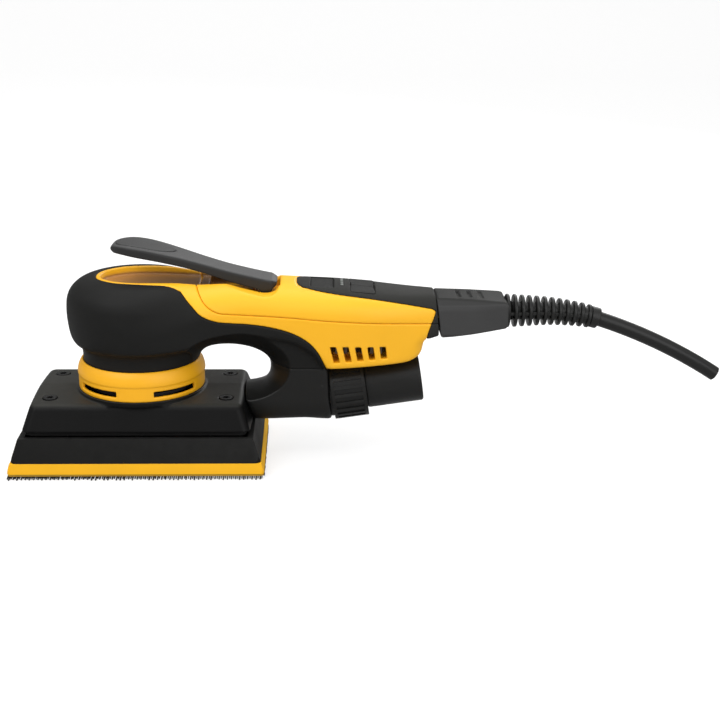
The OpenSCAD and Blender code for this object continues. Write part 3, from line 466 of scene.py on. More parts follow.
# ---------------------------------------------------------------- body outlines
# side views, columns x and z
HANDLE_SIDE = chain(
    curve([[-8, 98.2], [4, 98.4], [20, 98.6], [40, 98.5], [60, 98.0], [73.5, 97.1], [91, 96.3],
           [104, 95.7], [117, 94.7], [130, 93.1], [143, 91.7], [156.2, 90.7], [166, 89.9],
           [176, 89.0]]),
    curve([[176, 71.2], [168, 69.7], [158.4, 67.9], [154, 66.9], [151.4, 66.4], [150.6, 63],
           [149, 59], [143.6, 55.7], [136, 54.6], [123, 54], [110, 53.4], [98.6, 53]]),
    curve([[92, 62], [80, 69], [60, 71], [30, 66], [-8, 66]]))
REAR_CUT = [[156.1, 92.2], [156.2, 90.7], [158.4, 67.9], [158.8, 64], [200, 64], [200, 99],
            [156.0, 99]]
SADDLE = chain(
    curve([[44, 98.6], [48.3, 96.3], [54.6, 94.3], [61.7, 92.5], [66, 91.6], [70.4, 92.1],
           [73.2, 94.1], [74.2, 96.6], [74.6, 99.5]]),
    [[74.8, 104], [44, 104]])
YELLOW_ZONE = chain(
    curve([[13, 99.6], [17.5, 98.6], [23, 95.6], [28.8, 89.3], [34.5, 83.4], [41.5, 80],
           [48.6, 78.8], [60.4, 77.7], [72.3, 75.6], [81.8, 72.6], [89, 68.4], [93.7, 63.4],
           [96.8, 57.5], [98.6, 52]]),
    [[98.6, 30], [190, 30], [190, 125], [13, 125]])
UPPER_ZONE = chain(
    curve([[29.5, 101], [30.6, 98], [33.7, 92.3], [36.5, 88.6], [40.1, 85.7], [45.3, 83.8],
           [59.7, 82.6], [79.4, 81.3], [99.2, 79.6], [126.3, 77.8], [138.7, 77.1], [153, 76.2]]),
    [[190, 75.6], [190, 125], [29.5, 125]])
DARK_ZONE = chain(
    curve([[82.6, 98.5], [83.3, 95.5], [91, 93.8], [104, 92.0], [122, 89.7], [141, 86.5],
           [154, 83.9]]),
    curve([[156.1, 82.6], [155.5, 80.2], [153.8, 75.6], [152.2, 71], [151.6, 67.6], [151.6, 64],
           [150.6, 58]]),
    [[146.5, 30], [190, 30], [190, 125], [82.6, 125]])
LEG_SIDE = chain(
    [[20, 92], [60, 88]], curve([[92, 72], [98.9, 53], [99.9, 44], [100.3, 35.6]]), [[102, 22.2]],
    curve([[100.8, 20.6], [96, 21.2], [88, 22.4], [78, 21.8], [66, 20.8], [60.6, 21]]),
    [[55.2, 36.9], [34, 37.2], [28.6, 60]])
OPENING_MIDDLE = curve([[30.6, 47], [31.4, 55.1], [36.5, 59.8], [46, 61.2], [56, 60],
                        [63.6, 57.1], [68.2, 52.9], [69, 47.8], [67.4, 43], [63, 39.6],
                        [52, 38.4], [36, 39.2]], closed=True)
OPENING_OUTSIDE = curve([[25.6, 50], [27.4, 62.5], [34, 67.8], [45, 70.3], [57, 70.6],
                         [68, 67.6], [77, 61.4], [81, 53.4], [79.4, 45], [72.5, 38],
                         [56, 32.8], [34, 36]], closed=True)
CAVITY_SIDE = chain(
    [[31.2, 89], [31.2, 88.4]],
    curve([[36, 86.2], [41.5, 83.4], [48.6, 82], [60.4, 80.8], [72.3, 78.8], [81.8, 75.8],
           [90.2, 71], [95.6, 65.4], [99.4, 60.6], [101.4, 59.4]]),
    [[136, 59.4], [140.5, 60.4], [144.4, 66], [147.4, 72], [148.6, 84], [141, 85], [122, 87.6],
     [104, 89.4], [88, 90.6], [82, 88], [57, 88], [54, 88.6], [40, 88.6]])
UNDER_LEG = [[0, 0], [60.6, 0], [60.4, 21], [59.7, 23.2], [55.8, 36.4], [55.7, 60], [0, 60]]
# half widths, columns x and y
HANDLE_HALF = curve([[-8, 35.5], [10, 35.8], [22, 33], [32, 29.3], [42, 26.3], [52, 24.6],
                     [64, 23.9], [80, 23.9], [96, 24.1], [108, 23.8], [122, 22.6], [136, 20.2],
                     [148, 17.6], [158, 15.4], [166, 14.4]])
# columns y and z
LEG_HALF = curve([[0, 19.4], [8, 19.9], [13.4, 22], [17, 26], [18.8, 32], [19.4, 40], [20.6, 52],
                  [22.3, 66], [23, 74], [23, 96]])
# columns radius and z
HEAD_LATHE = chain(
    curve([[30.4, 47.5], [30.5, 56], [31.0, 60.2], [32.4, 62.6], [34.6, 64.2], [36.3, 67.4],
           [37.3, 72.2], [37.9, 78], [37.9, 83.4], [37.3, 88], [35.3, 92.2], [31.3, 95.8],
           [26.4, 97.7], [20, 98.5]]),
    [[0, 98.8], [0, 47.5]])
# plans, columns x and y
DISH_PLAN = curve([[-22, 0], [-19.5, 9], [-11, 17], [1, 20.2], [16, 20.4], [34, 19.4],
                   [34, -19.4], [16, -20.4], [1, -20.2], [-11, -17], [-19.5, -9]], closed=True)
RECESS_PLAN = mirrored(curve([
    [-19.6, 0.4], [-17.6, 7.5], [-10, 14.4], [0, 17.2], [12, 16.9], [26, 14.6], [38, 12.4],
    [50, 11.1], [62, 10.8], [73, 10.6], [74.8, 9.4]]))

HANDLE_CROWN = 0.0118  # fall of the handle's top per y squared
WALL = 2.7
PART_GAP = 0.06  # set-back of a shell from its parting line
PANEL_GAP = 0.03
GRIP_GAP = 0.05
LEG_TOP = 52.55
PIVOT = 67, 93.6  # x and z of the lever's hinge
EAR_Y = 6.3
OUTLET_X, OUTLET_Z = 101.0, 35.6
OUTLET_TILT = math.radians(8.3)
# boxes, x0 x1 y0 y1 z0 z1
SOCKET_BOX = 140, 170, -11.1, 11.1, 70.9, 85.1
PANEL_POCKET = 86, 128.4, -11, 11, 80, 90.2
COVER_POCKET = 86, 128.4, -11, 11, 80, 95
HINGE_POCKET = 61, 74.4, -10, 10, 89.8, 92
GRIP_REAR_BOX = 98.75, 112, -30, 30, 48, 60
HOUSING_FOOT_BOX = 90, 98.85, -40, 40, 30, 53.04
DUCT_NECK = 52, 61, -13.9, 13.9, 24.8, 33.2
DUCT_BORE = 50, 84, -11.9, 11.9, 26.4, 31.6


# ---------------------------------------------------------------- fields shared by the body
def width_along_x(grid, half):
    return np.interp(grid.x, half[:, 0], half[:, 1]).astype(np.float32)[:, None, None]


def handle_wall(grid, half_width):
    """The handle's bulging side walls."""
    return np.abs(grid.Y) - half_width + 0.0011 * (grid.Z - 72) ** 2


def make_handle(grid, wall):
    handle = meet(grid.xz_crown(HANDLE_SIDE, HANDLE_CROWN), wall, soft=9)
    return cut(meet(handle, grid.xz(HANDLE_SIDE), soft=2.2), grid.xz(REAR_CUT), soft=0.9)


def make_cavity(grid, handle):
    return meet(handle + WALL, grid.xz(CAVITY_SIDE), soft=0.5)


def outlet_rod(radius, start, end):
    """A cylinder on the outlet's tilted axis, between two places along it."""
    dx, dz = X - OUTLET_X, Z - OUTLET_Z
    along = dx * math.cos(OUTLET_TILT) + dz * math.sin(OUTLET_TILT)
    across = -dx * math.sin(OUTLET_TILT) + dz * math.cos(OUTLET_TILT)
    return meet(np.sqrt(across * across + Y ** 2) - radius, start - along, along - end)


def vent_slot(i):
    """One of the slanted slots on both flanks; they shorten towards +x."""
    t = i / 4
    left, width = 100.4 + i * 6.5, 3.4
    lean, top, bottom = 2.2 - 1.3 * t, 65.8 - 0.6 * t, 56.8 + 1.6 * t
    side = [[left, top], [left + width, top], [left + width + lean, bottom], [left + lean, bottom]]
    return meet(main.xz(side), 12 - np.abs(Y))


def make_leg():
    half = np.interp(main.z, LEG_HALF[:, 1], LEG_HALF[:, 0]).astype(np.float32)[None, None, :]
    front = main.yz(chain(LEG_HALF, [[0, 96]], [[-y, z] for y, z in LEG_HALF[::-1]]))
    return meet(main.xz(LEG_SIDE), np.abs(Y) - half, front, soft=3)


def make_opening():
    """The hand opening, which flares from the middle to the flanks."""
    flare = np.clip((np.abs(Y) / 21.0), 0, 1.12) ** 1.7
    return main.xz(OPENING_MIDDLE) * (1 - flare) + main.xz(OPENING_OUTSIDE) * flare


def make_recess():
    """The lever's hollow in the top: sloped dish, deeper channel, hinge pocket and saddle."""
    plan = main.xy(RECESS_PLAN)
    bowl = meet(plan - 0.42 * (Z - 97.2), 94.6 - Z, soft=1.6)
    channel = meet(meet(plan + 0.3, 91.2 - Z, soft=1.0), 37.5 - X, soft=2.0)
    recess = join(join(bowl, channel, soft=0.8), main.box(*HINGE_POCKET))
    return join(recess, main.xz(SADDLE), soft=0.6)


main = Grid((-40, -40, 16.5), (162.5, 40, 101.5), cell=0.62)
X, Y, Z = main.coords
handle_half = width_along_x(main, HANDLE_HALF)
half_slope = np.gradient(handle_half[:, 0, 0], main.cell)[:, None, None]
handle = make_handle(main, handle_wall(main, handle_half) / np.sqrt(1 + half_slope ** 2))
head = main.lathe(HEAD_LATHE)
leg = make_leg()
opening = make_opening()
hull = join(head, handle, soft=5.0)
yellow = main.xz(YELLOW_ZONE)
upper = main.xz(UPPER_ZONE)
dark = main.xz(DARK_ZONE)
recess = make_recess()
cavity = make_cavity(main, handle)
dish = meet(main.xy(DISH_PLAN), 94.9 - Z)
socket = main.box(*SOCKET_BOX)


# ---------------------------------------------------------------- shells
def paint_dish_shade(ob):
    """Marks where the lever's painted shade and reflection fall on the dish floor of a shell."""
    mesh = ob.data
    co = np.empty(len(mesh.vertices) * 3, np.float32)
    mesh.vertices.foreach_get("co", co)
    co = co.reshape(-1, 3) / MM
    distance = sample(main.full(recess), (co - main.low) / main.cell)
    dish_shade_weight = (np.clip(1.2 - np.abs(distance) / 0.7, 0, 1) * np.clip(96.5 - co[:, 2], 0, 1)
            * np.clip((50 - co[:, 0]) / 5, 0, 1))
    # the dish attribute holds the weight of the painted shade and reflection
    mesh.attributes.new("dish", "FLOAT", "POINT").data.foreach_set("value", dish_shade_weight.astype(np.float32))


def build_grip():
    """Black soft grip over the head and the arch."""
    grip = meet(cut(join(hull, leg, soft=5.0), opening, soft=0.5), LEG_TOP - Z)
    grip = join(grip, np.where(Z < 60, np.maximum(head, 47.5 - Z), 1e3))
    grip = cut(grip, yellow + GRIP_GAP, dish, soft=0.7)
    grip = cut(grip, main.barrel(28.38, 30, 95.08), main.box(*GRIP_REAR_BOX),
               meet(X - 50, 20 - X, Z - 47.2))
    make_piece("grip_overmold", main, grip)


def build_housing():
    """Lower yellow shell, with the dish and the motor barrel."""
    shell = meet(hull, np.minimum(yellow + GRIP_GAP, dish + 0.02), soft=0.7)
    shell = join(shell, main.barrel(28.3, 48, 95))
    shell = cut(shell, upper - PART_GAP, dark - PART_GAP, soft=0.6)
    shell = cut(shell, recess, soft=0.9)
    shell = cut(shell, join(*[vent_slot(i) for i in range(5)]) + 0.12, soft=0.35)
    shell = cut(shell, cavity, soft=0.4)
    sleeve_room = outlet_rod(18.0, -2, 20.4)
    hose_room = outlet_rod(15.2, 18, 80)
    shell = cut(shell, main.barrel(26.5, 40, 83.2), main.barrel(9.55, 82, 91.4), socket,
                sleeve_room, hose_room, main.box(*HOUSING_FOOT_BOX))
    paint_dish_shade(make_piece("main_housing", main, shell))


def build_top_cover():
    """Upper yellow shell with two ears for the lever's pin."""
    ear_radius = 2.9
    cover = meet(hull, upper + PART_GAP, soft=0.6)
    cover = cut(cover, dark - PART_GAP, soft=0.6)
    cover = cut(cover, recess, soft=0.9)
    cover = cut(cover, cavity, soft=0.4)
    cover = cut(cover, main.barrel(28.42, 80, 95.5), main.box(*COVER_POCKET), socket)
    post = meet(np.abs(X - PIVOT[0]) - ear_radius, 89.5 - Z, Z - PIVOT[1])
    ears = meet(join(main.rod_y(*PIVOT, ear_radius), post), np.abs(np.abs(Y) - EAR_Y) - 1.1)
    pin_hole = meet(main.rod_y(*PIVOT, 2.02), np.abs(Y) - 15)
    paint_dish_shade(make_piece("top_cover", main, cut(join(cover, ears), pin_hole)))


def build_rear_trim():
    """Dark collar round the rear of the handle."""
    trim = cut(meet(handle, dark + PART_GAP, soft=0.6), cavity, soft=0.4)
    trim = cut(trim, socket, main.box(*PANEL_POCKET))
    make_piece("rear_trim", main, cut(trim, upper - PANEL_GAP, soft=0.5))


# ---------------------------------------------------------------- control panel and buttons
# centre x, centre z, tilt in degrees, y from, y to, half length
BUTTONS = {
    "power_button": (96.7, 96.1, 2.6, -10.2, 10.2, 5.9),
    "speed_up_button": (117.9, 94.6, 5.0, -13.6, -0.12, 6.4),
    "speed_down_button": (117.9, 94.6, 5.0, 0.12, 13.6, 6.4),
}


def button_block(grid, name, grow, depth):
    """A button's round-cornered outline, grown outwards, from depth below its centre up."""
    x, z, tilt, y0, y1, half_length = BUTTONS[name]
    corner = 1.4
    tilt = math.radians(tilt)
    dx, dz = grid.X - x, grid.Z - z
    along = dx * math.cos(tilt) - dz * math.sin(tilt)
    height = dx * math.sin(tilt) + dz * math.cos(tilt)
    # the two speed buttons sit side by side, so they grow half as much in y
    half_width = (y1 - y0) / 2 + (grow if name == "power_button" else grow / 2)
    plan = rounded_box(np.abs(along) - (half_length + grow - corner),
                       np.abs(grid.Y - (y0 + y1) / 2) - (half_width - corner), corner)
    return np.maximum(plan, -depth - height)


def build_panel():
    """Dark panel on top of the handle, with button wells and a row of five small holes."""
    grid = Grid((83, -23, 76), (160.5, 23, 98.5), cell=0.42)
    block = make_handle(grid, handle_wall(grid, width_along_x(grid, HANDLE_HALF)))
    panel = meet(block, grid.xz(DARK_ZONE) + PART_GAP, soft=0.6)
    panel = meet(panel, grid.xz(UPPER_ZONE) + PANEL_GAP, soft=0.5)
    panel = cut(panel, make_cavity(grid, block), soft=0.4)
    panel = cut(panel, grid.box(*SOCKET_BOX), grid.box(*PANEL_POCKET))
    panel = cut(panel, *[button_block(grid, name, 0.2, 8.2) for name in BUTTONS], soft=0.4)
    panel = cut(panel, *[grid.rod_z(107, i * 3, 0.84) for i in range(-2, 3)])
    make_piece("control_panel", grid, panel)


def build_button(name):
    x, z, _, y0, y1, _ = BUTTONS[name]
    grid = Grid((x - 8, y0 - 1.2, z - 6.2), (x + 8, y1 + 1.2, z + 2.2), cell=0.26)
    wall = handle_wall(grid, np.interp(x, HANDLE_HALF[:, 0], HANDLE_HALF[:, 1]))
    top = meet(grid.xz_crown(HANDLE_SIDE, HANDLE_CROWN),
               meet(grid.xz(HANDLE_SIDE), wall, soft=9), soft=9)
    button = meet(button_block(grid, name, 0.0, 3.2), top - 0.3, soft=0.8)
    # skirt that closes the gap round the button
    skirt = cut(button_block(grid, name, 0.15, 3.2), button_block(grid, name, 5, 2.0))
    # a shallow finger hollow
    finger = np.sqrt((grid.X - x) ** 2 + (grid.Y - (y0 + y1) / 2) ** 2 * 0.35
                     + (grid.Z - z - 14.9) ** 2) - 15.2
    make_piece(name, grid, cut(join(button, skirt), finger, soft=0.8))


def build_duct():
    """Leg and duct down to the outlet."""
    duct = meet(cut(leg, opening, soft=0.5), Z - LEG_TOP)
    duct = cut(duct, main.xz(UNDER_LEG), soft=0.4)
    duct = join(duct, main.box(*DUCT_NECK), outlet_rod(15.4, -1, 9.6))
    duct = cut(duct, outlet_rod(13.6, 3, 20), outlet_rod(9.8, -22, 0.6),
               outlet_rod(14.6, 0.3, 3.8), main.box(*DUCT_BORE))
    make_piece("dust_duct", main, duct)


# ---------------------------------------------------------------- shroud and ring
def build_shroud():
    """Tapered cover over the pad, open below, with four screw holes."""
    grid = Grid((-62, -38, 22.4), (62, 38, 40), cell=0.55)
    X, Y, Z = grid.coords
    base_z, outer_corner, inner_corner = 23.2, 3.8, 3
    rise = np.clip((Z - base_z) / 13.2, -0.2, 1.4)
    end_bow = 1.5 * (1 - (Y / 36) ** 2)
    plan = rounded_box(np.abs(X) - (58.9 + end_bow * 0.8 - 4.7 * rise) + outer_corner,
                       np.abs(Y) - (36.2 - 5.2 * rise) + outer_corner, outer_corner)
    roof = Z - (38.05 - 0.052 * np.sqrt(Y ** 2 + 0.6))
    shroud = meet(meet(plan, roof, soft=2.6), base_z - Z, soft=0.5)
    shroud = join(shroud, grid.barrel(34.0, 36, 38.45), soft=1.5)
    inside = rounded_box(np.abs(X) - (57 - 4 * rise) + inner_corner,
                         np.abs(Y) - (33.6 - 4.8 * rise) + inner_corner, inner_corner)
    shroud = cut(shroud, meet(inside, Z - 34.2), grid.rod_z(0, 0, 29))
    for x in (-46, 46):
        for y in (-20.2, 20.2):
            shroud = cut(shroud, meet(grid.rod_z(x, y, 3.8), 35.2 - Z), soft=0.7)
            shroud = cut(shroud, grid.rod_z(x, y, 2.2))
    neck_slot = grid.box(45, 65, -14.1, 14.1, 24.6, 33.4)
    make_piece("dust_shroud", grid, cut(shroud, neck_slot), finish="shroud")


# columns radius and z
RING_LATHE = chain(
    [[31.7, 38.5], [33.0, 38.5], [33.4, 39.1], [33.45, 40.0], [33.45, 46.2], [33.85, 46.9]],
    curve([[33.85, 47.4], [33.7, 49], [33.1, 51.2], [32.2, 53], [31.4, 54.1]]),
    [[30.56, 54.1], [30.56, 49], [31.7, 46]])


def build_ring():
    """Collar under the head, with four slots round it."""
    grid = Grid((-36, -36, 37.4), (36, 36, 55.2), cell=0.5)
    half_angle, outer_radius = 22.5, 34
    ring = grid.lathe(RING_LATHE)
    angle = np.degrees(np.arctan2(grid.Y, grid.X))
    for centre in (-129.5, -50.5, 50.5, 129.5):
        turn = np.abs((angle - centre + 180) % 360 - 180)
        arc = (turn - half_angle) * math.radians(1) * outer_radius
        slot = cut(meet(arc, np.abs(grid.Z - 42.4) - 1.5), grid.rod_z(0, 0, 30))
        ring = cut(ring, slot, soft=0.4)
    make_piece("collar_ring", grid, ring)


# ---------------------------------------------------------------- lever
LEVER_CROWN = 0.004
# columns x and z
LEVER_TOP = curve([[-14.5, 113.2], [-11.6, 115.8], [-6, 116.6], [0, 116.3], [8.6, 114.7],
                   [21.9, 111.0], [35.1, 106.9], [48.4, 103.0], [61.8, 99.8], [70.5, 98.0]])
LEVER_LOW = curve([[73.4, 96.6], [73.0, 94.6], [70.4, 92.6], [66, 91.9], [61.7, 92.8],
                   [48.3, 96.6], [34.9, 101.4], [21.6, 105.6], [8.3, 109], [-5, 111.3],
                   [-11.4, 111.6]])
# columns x and y
LEVER_PLAN = mirrored(curve([
    [-14.6, 0.6], [-13, 6.2], [-8, 11.2], [-1, 14], [7, 14.4], [15, 13.4], [26, 11.3],
    [38, 9.9], [52, 9.5], [66, 9.4], [70.4, 9.2], [73.6, 6.4]]))
INLAY_PLAN = curve([[-11, 0], [-8, 7.4], [0, 10.8], [8, 10.6], [15, 7.6], [20, 0], [15, -7.6],
                    [8, -10.6], [0, -10.8], [-8, -7.4]], closed=True)


def lever_top_moved(dz):
    return LEVER_TOP + np.array([0, dz])


def build_lever():
    """Long paddle over the top, hinged at its rear, and the inlay in its front."""
    grid = Grid((-16, -16, 89), (75, 16, 118), cell=0.36)
    X, Y, Z = grid.coords
    side, plan = chain(LEVER_TOP, LEVER_LOW), grid.xy(LEVER_PLAN)
    lever = meet(grid.xz_crown(side, LEVER_CROWN), plan, soft=1.6)
    lever = meet(lever, grid.xz(side), soft=0.8)
    hub = meet(grid.rod_y(*PIVOT, 3.4), np.abs(Y) - 9.1)
    lever = join(lever, hub, soft=1.0)
    under_side = grid.xz(chain(lever_top_moved(-3), [[62, 90], [-14, 90]]))
    underside = meet(meet(under_side, plan + 1.8, soft=1.2), X - 58, soft=0.5)
    above = grid.xz(chain(lever_top_moved(-0.9), [[72, 130], [-14, 130]]))
    inlay_plan = grid.xy(INLAY_PLAN)
    lever = cut(lever, underside, meet(above, inlay_plan - 0.14), soft=0.5)
    ear_slots = meet(np.abs(X - PIVOT[0]) - 4.0, Z - 96.9, np.abs(np.abs(Y) - EAR_Y) - 1.3)
    pin_hole = meet(grid.rod_y(*PIVOT, 2.05), np.abs(Y) - 8.3)
    upright_hole = meet(grid.rod_z(44, 0, 2.05), np.abs(Z - 100.9) - 2.16)
    make_piece("lever", grid, cut(lever, ear_slots, pin_hole, upright_hole))
    layer = chain(lever_top_moved(0.12), lever_top_moved(-0.86)[::-1])
    inlay = meet(grid.xz_crown(layer, LEVER_CROWN), inlay_plan, soft=0.5)
    make_piece("lever_inlay", grid, inlay)


# ---------------------------------------------------------------- cord connector
# columns x and z
PLUG_SIDE = [[156.7, 88.2], [157.5, 89.0], [176, 88.2], [192.4, 87.0], [194.2, 86.2],
             [194.7, 84.6], [194.7, 74.0], [193.6, 72.7], [181, 70.6], [166, 68.1],
             [160.2, 67.5], [159.2, 68.5]]
# columns x and y
PLUG_HALF = curve([[154, 15.1], [166, 15.0], [180, 14.5], [190, 13.8], [196, 13.2]])
# columns y and z
PLUG_SECTION = [[-15.2, 69.8], [-12.8, 67.2], [12.8, 67.2], [15.2, 69.8], [15.2, 82.8],
                [14, 85.4], [10.4, 89.1], [-10.4, 89.1], [-14, 85.4], [-15.2, 82.8]]
CORD_Z = 79.1


def build_connector():
    grid = Grid((154.5, -17, 65), (196.5, 17, 90.5), cell=0.4)
    X, Y, Z = grid.coords
    half = width_along_x(grid, PLUG_HALF)
    plug = meet(grid.xz(PLUG_SIDE), np.abs(Y) - half, soft=0.9)
    plug = meet(plug, grid.yz(PLUG_SECTION), soft=1.2)
    for x in (169, 175, 181):  # grooves across the top
        groove = meet(meet(np.abs(X - x) - 0.9, np.abs(Y) - 7, soft=1.0), 87.0 - Z)
        plug = cut(plug, groove, soft=0.5)
    inset = np.maximum(half - 0.02 - np.abs(Y), 0)
    parting_line = np.sqrt(inset ** 2 * 4 + (Z - 77.6) ** 2) - 0.22
    plug = cut(plug, parting_line, soft=0.1)
    plug = cut(plug, *[meet(grid.rod_x(y, 78, 2.05), X - 176) for y in (-6, 0, 6)])
    plug = cut(plug, grid.box(175.9, 190.1, -8, 8, 75.4, 82.4),
               meet(grid.rod_x(0, CORD_Z, 4.08), 190 - X))
    make_piece("cord_connector", grid, plug, finish="plug")


# ---------------------------------------------------------------- strain relief
FIRST_BEND_X, FIRST_BEND_RADIUS = 210, 150
SECOND_BEND_X, SECOND_BEND_RADIUS = 242.6, 288
SECOND_BEND_ANGLE = math.radians(17.5)
RELIEF_X = 194.72
RELIEF_BORE = 4.12
RIB_COUNT, RIB_PITCH, FIRST_RIB_X = 11, 3.98, 199.6
RING_POINTS = 64


def cord_at(x):
    """Height and downward angle of the cord: straight, then two arcs."""
    bend = FIRST_BEND_RADIUS
    if x < FIRST_BEND_X:
        return CORD_Z, 0.0
    if x < SECOND_BEND_X:
        angle = math.asin((x - FIRST_BEND_X) / bend)
        return CORD_Z - bend + bend * math.cos(angle), angle
    start_z = CORD_Z - bend + math.sqrt(bend ** 2 - (SECOND_BEND_X - FIRST_BEND_X) ** 2)
    bend = SECOND_BEND_RADIUS
    centre_x = SECOND_BEND_X - bend * math.sin(SECOND_BEND_ANGLE)
    centre_z = start_z - bend * math.cos(SECOND_BEND_ANGLE)
    angle = math.asin((x - centre_x) / bend)
    return centre_z + bend * math.cos(angle), angle


def rib_radius(i):
    return 8.8 - i * 0.25


def relief_stations():
    """Columns x and radius: collar, ribs, end sleeve, then back through the bore."""
    stations = [(RELIEF_X, 4.15), (RELIEF_X, 8.4), (194.9, 8.8), (195.2, 9.0), (196.1, 9.0),
                (196.5, 8.8), (196.6, 8.3), (196.62, 5.5)]
    core = 4.7
    for i in range(RIB_COUNT):
        centre, radius = FIRST_RIB_X + i * RIB_PITCH, rib_radius(i)
        flank = [(1.25, core), (0.98, core + 0.25), (0.92, radius - 0.5),
                 (0.78, radius - 0.16), (0.45, radius)]
        stations += [(centre - dx, r) for dx, r in flank]
        stations += [(centre + dx, r) for dx, r in flank[::-1]]
    stations += [(240.6, 5.2), (240.75, 5.5), (241.0, 5.68), (244.4, 5.68), (244.8, 5.5),
                 (245.0, 5.1), (245.02, RELIEF_BORE)]
    bore_x = (243, 240, 236, 230, 224, 218, 212, 206, 200, RELIEF_X)
    return stations + [(x, RELIEF_BORE) for x in bore_x]


def lathe_along_cord(name, stations):
    """Rings centred on the cord's line, square to it."""
    verts, faces = [], []
    for x, radius in stations:
        z, angle = cord_at(x)
        for k in range(RING_POINTS):
            t = 2 * math.pi * k / RING_POINTS
            u, v = radius * math.cos(t), radius * math.sin(t)
            verts.append((x + v * math.sin(angle), u, z + v * math.cos(angle)))
    for i in range(len(stations) - 1):
        a, b = i * RING_POINTS, (i + 1) * RING_POINTS
        for k in range(RING_POINTS):
            after = (k + 1) % RING_POINTS
            faces.append((a + k, a + after, b + after, b + k))
    return new_object(name, verts, faces)


def soften_edges(ob, width_mm, angle_deg):
    bevel = ob.modifiers.new("edge", "BEVEL")
    bevel.width = width_mm * MM
    bevel.segments = 2
    bevel.limit_method = "ANGLE"
    bevel.angle_limit = math.radians(angle_deg)
    ob.modifiers.new("wn", "WEIGHTED_NORMAL")


def build_relief():
    relief = lathe_along_cord("strain_relief", relief_stations())
    bm = bmesh.new()
    bm.from_mesh(relief.data)
    bmesh.ops.remove_doubles(bm, verts=bm.verts, dist=1e-6)
    # thin webs that tie the ribs together on both sides
    web_size = Matrix.Diagonal((3.0 * MM, 1.5 * MM, 2.6 * MM, 1))
    for i in range(RIB_COUNT):
        x = FIRST_RIB_X - 1.8 + i * RIB_PITCH
        z, angle = cord_at(x)
        for turn in (90, 270):
            place = (Matrix.Translation((x * MM, 0, z * MM)) @ Matrix.Rotation(angle, 4, "Y")
                     @ Matrix.Rotation(math.radians(turn), 4, "X")
                     @ Matrix.Translation((0, 0, (rib_radius(i) - 2.4) * MM)))
            bmesh.ops.create_cube(bm, size=1.0, matrix=place @ web_size)
    bmesh.ops.recalc_face_normals(bm, faces=bm.faces)
    bm.to_mesh(relief.data)
    bm.free()
    smooth_faces(relief.data)
    dress(relief, "strain_relief")
    soften_edges(relief, width_mm=0.18, angle_deg=40)


# ---------------------------------------------------------------- abrasive net
CORD_PITCH = 1.06
BOX_FACES = ((0, 1, 3, 2), (4, 6, 7, 5), (0, 4, 5, 1), (2, 3, 7, 6), (0, 2, 6, 4), (1, 5, 7, 3))


def build_net():
    """Crossing cords whose ends stand out at the rim."""
    rng = np.random.RandomState(4)
    (low_x, low_y), (high_x, high_y) = [[v / MM for v in end[:2]]
                                        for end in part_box("abrasive_net")]
    rim = 0.1
    verts, faces = [], []

    def cord_box(x0, x1, y0, y1, z0, z1):
        first = len(verts)
        verts.extend([(x, y, z) for x in (x0, x1) for y in (y0, y1) for z in (z0, z1)])
        faces.extend([tuple(first + k for k in face) for face in BOX_FACES])

    # cords along y; every second one is wider and stands out further
    for i in range(int((high_x - low_x - 0.7) / CORD_PITCH) + 1):
        x = low_x + 0.35 + i * CORD_PITCH + rng.uniform(-0.14, 0.14)
        half = rng.uniform(0.22, 0.32) + 0.12 * (i % 2)
        cord_box(x - half, x + half, low_y + rim, high_y - rim, 0.0, 0.8)
        for edge, way in ((low_y + rim, -1), (high_y - rim, 1)):
            tip = edge + way * (rng.uniform(0.9, 2.3) if i % 2 else rng.uniform(0.1, 0.7))
            cord_box(x - half * 0.9, x + half * 0.9, min(edge, tip), max(edge, tip), 0.0, 0.5)
    # cords along x
    for i in range(int((high_y - low_y - 7.0) / CORD_PITCH) + 1):
        y = low_y + 3.5 + i * CORD_PITCH + rng.uniform(-0.14, 0.14)
        half = rng.uniform(0.24, 0.36)
        cord_box(low_x + rim, high_x - rim, y - half, y + half, 0.25, 1.2)
        for edge, way in ((low_x + rim, -1), (high_x - rim, 1)):
            tip = edge + way * rng.uniform(0.02, 0.3)
            cord_box(min(edge, tip), max(edge, tip), y - half * 0.8, y + half * 0.8, 0.0, 0.5)
    dress(new_object("abrasive_net", verts, faces), "abrasive_net")


# ---------------------------------------------------------------- remaining CAD pieces
# bevel widths in mm; the others get PLAIN_EDGE
PLAIN_EDGE = 0.12
EDGES = {"pad_plate": 0.55, "pad_cushion": 0.35, "hook_layer": 0.1, "abrasive_net": 0.08,
         "shroud_seal": 0.3, "shroud_screws": 0.18, "locking_sleeve": 0.3, "hose_fitting": 0.3,
         "cooling_fan": 0.2, "counterweight": 0.3, "bearing_bracket": 0.3, "heat_sink": 0.15,
         "socket_block": 0.2, "stator_coils": 0.5, "board_parts": 0.25}


def finish_cad_pieces():
    """The visible CAD pieces keep their mesh, with softened edges."""
    for name, ob in frame["nodes"].items():
        if ob.hide_render:
            continue
        ob.data.materials.clear()
        ob.data.materials.append(MATERIALS[SLOT[name]])
        ob.modifiers.new("weld", "WELD").merge_threshold = 2e-6
        soften_edges(ob, width_mm=EDGES.get(name, PLAIN_EDGE), angle_deg=38)


# ---------------------------------------------------------------- stage, light and camera (metres)
# columns y and z: a flat floor that turns up behind
FLOOR_PROFILE = [(-2.2, 0.0), (1.1, 0.0), (1.5, 0.05), (1.8, 0.22), (1.95, 0.55), (2.0, 2.6)]
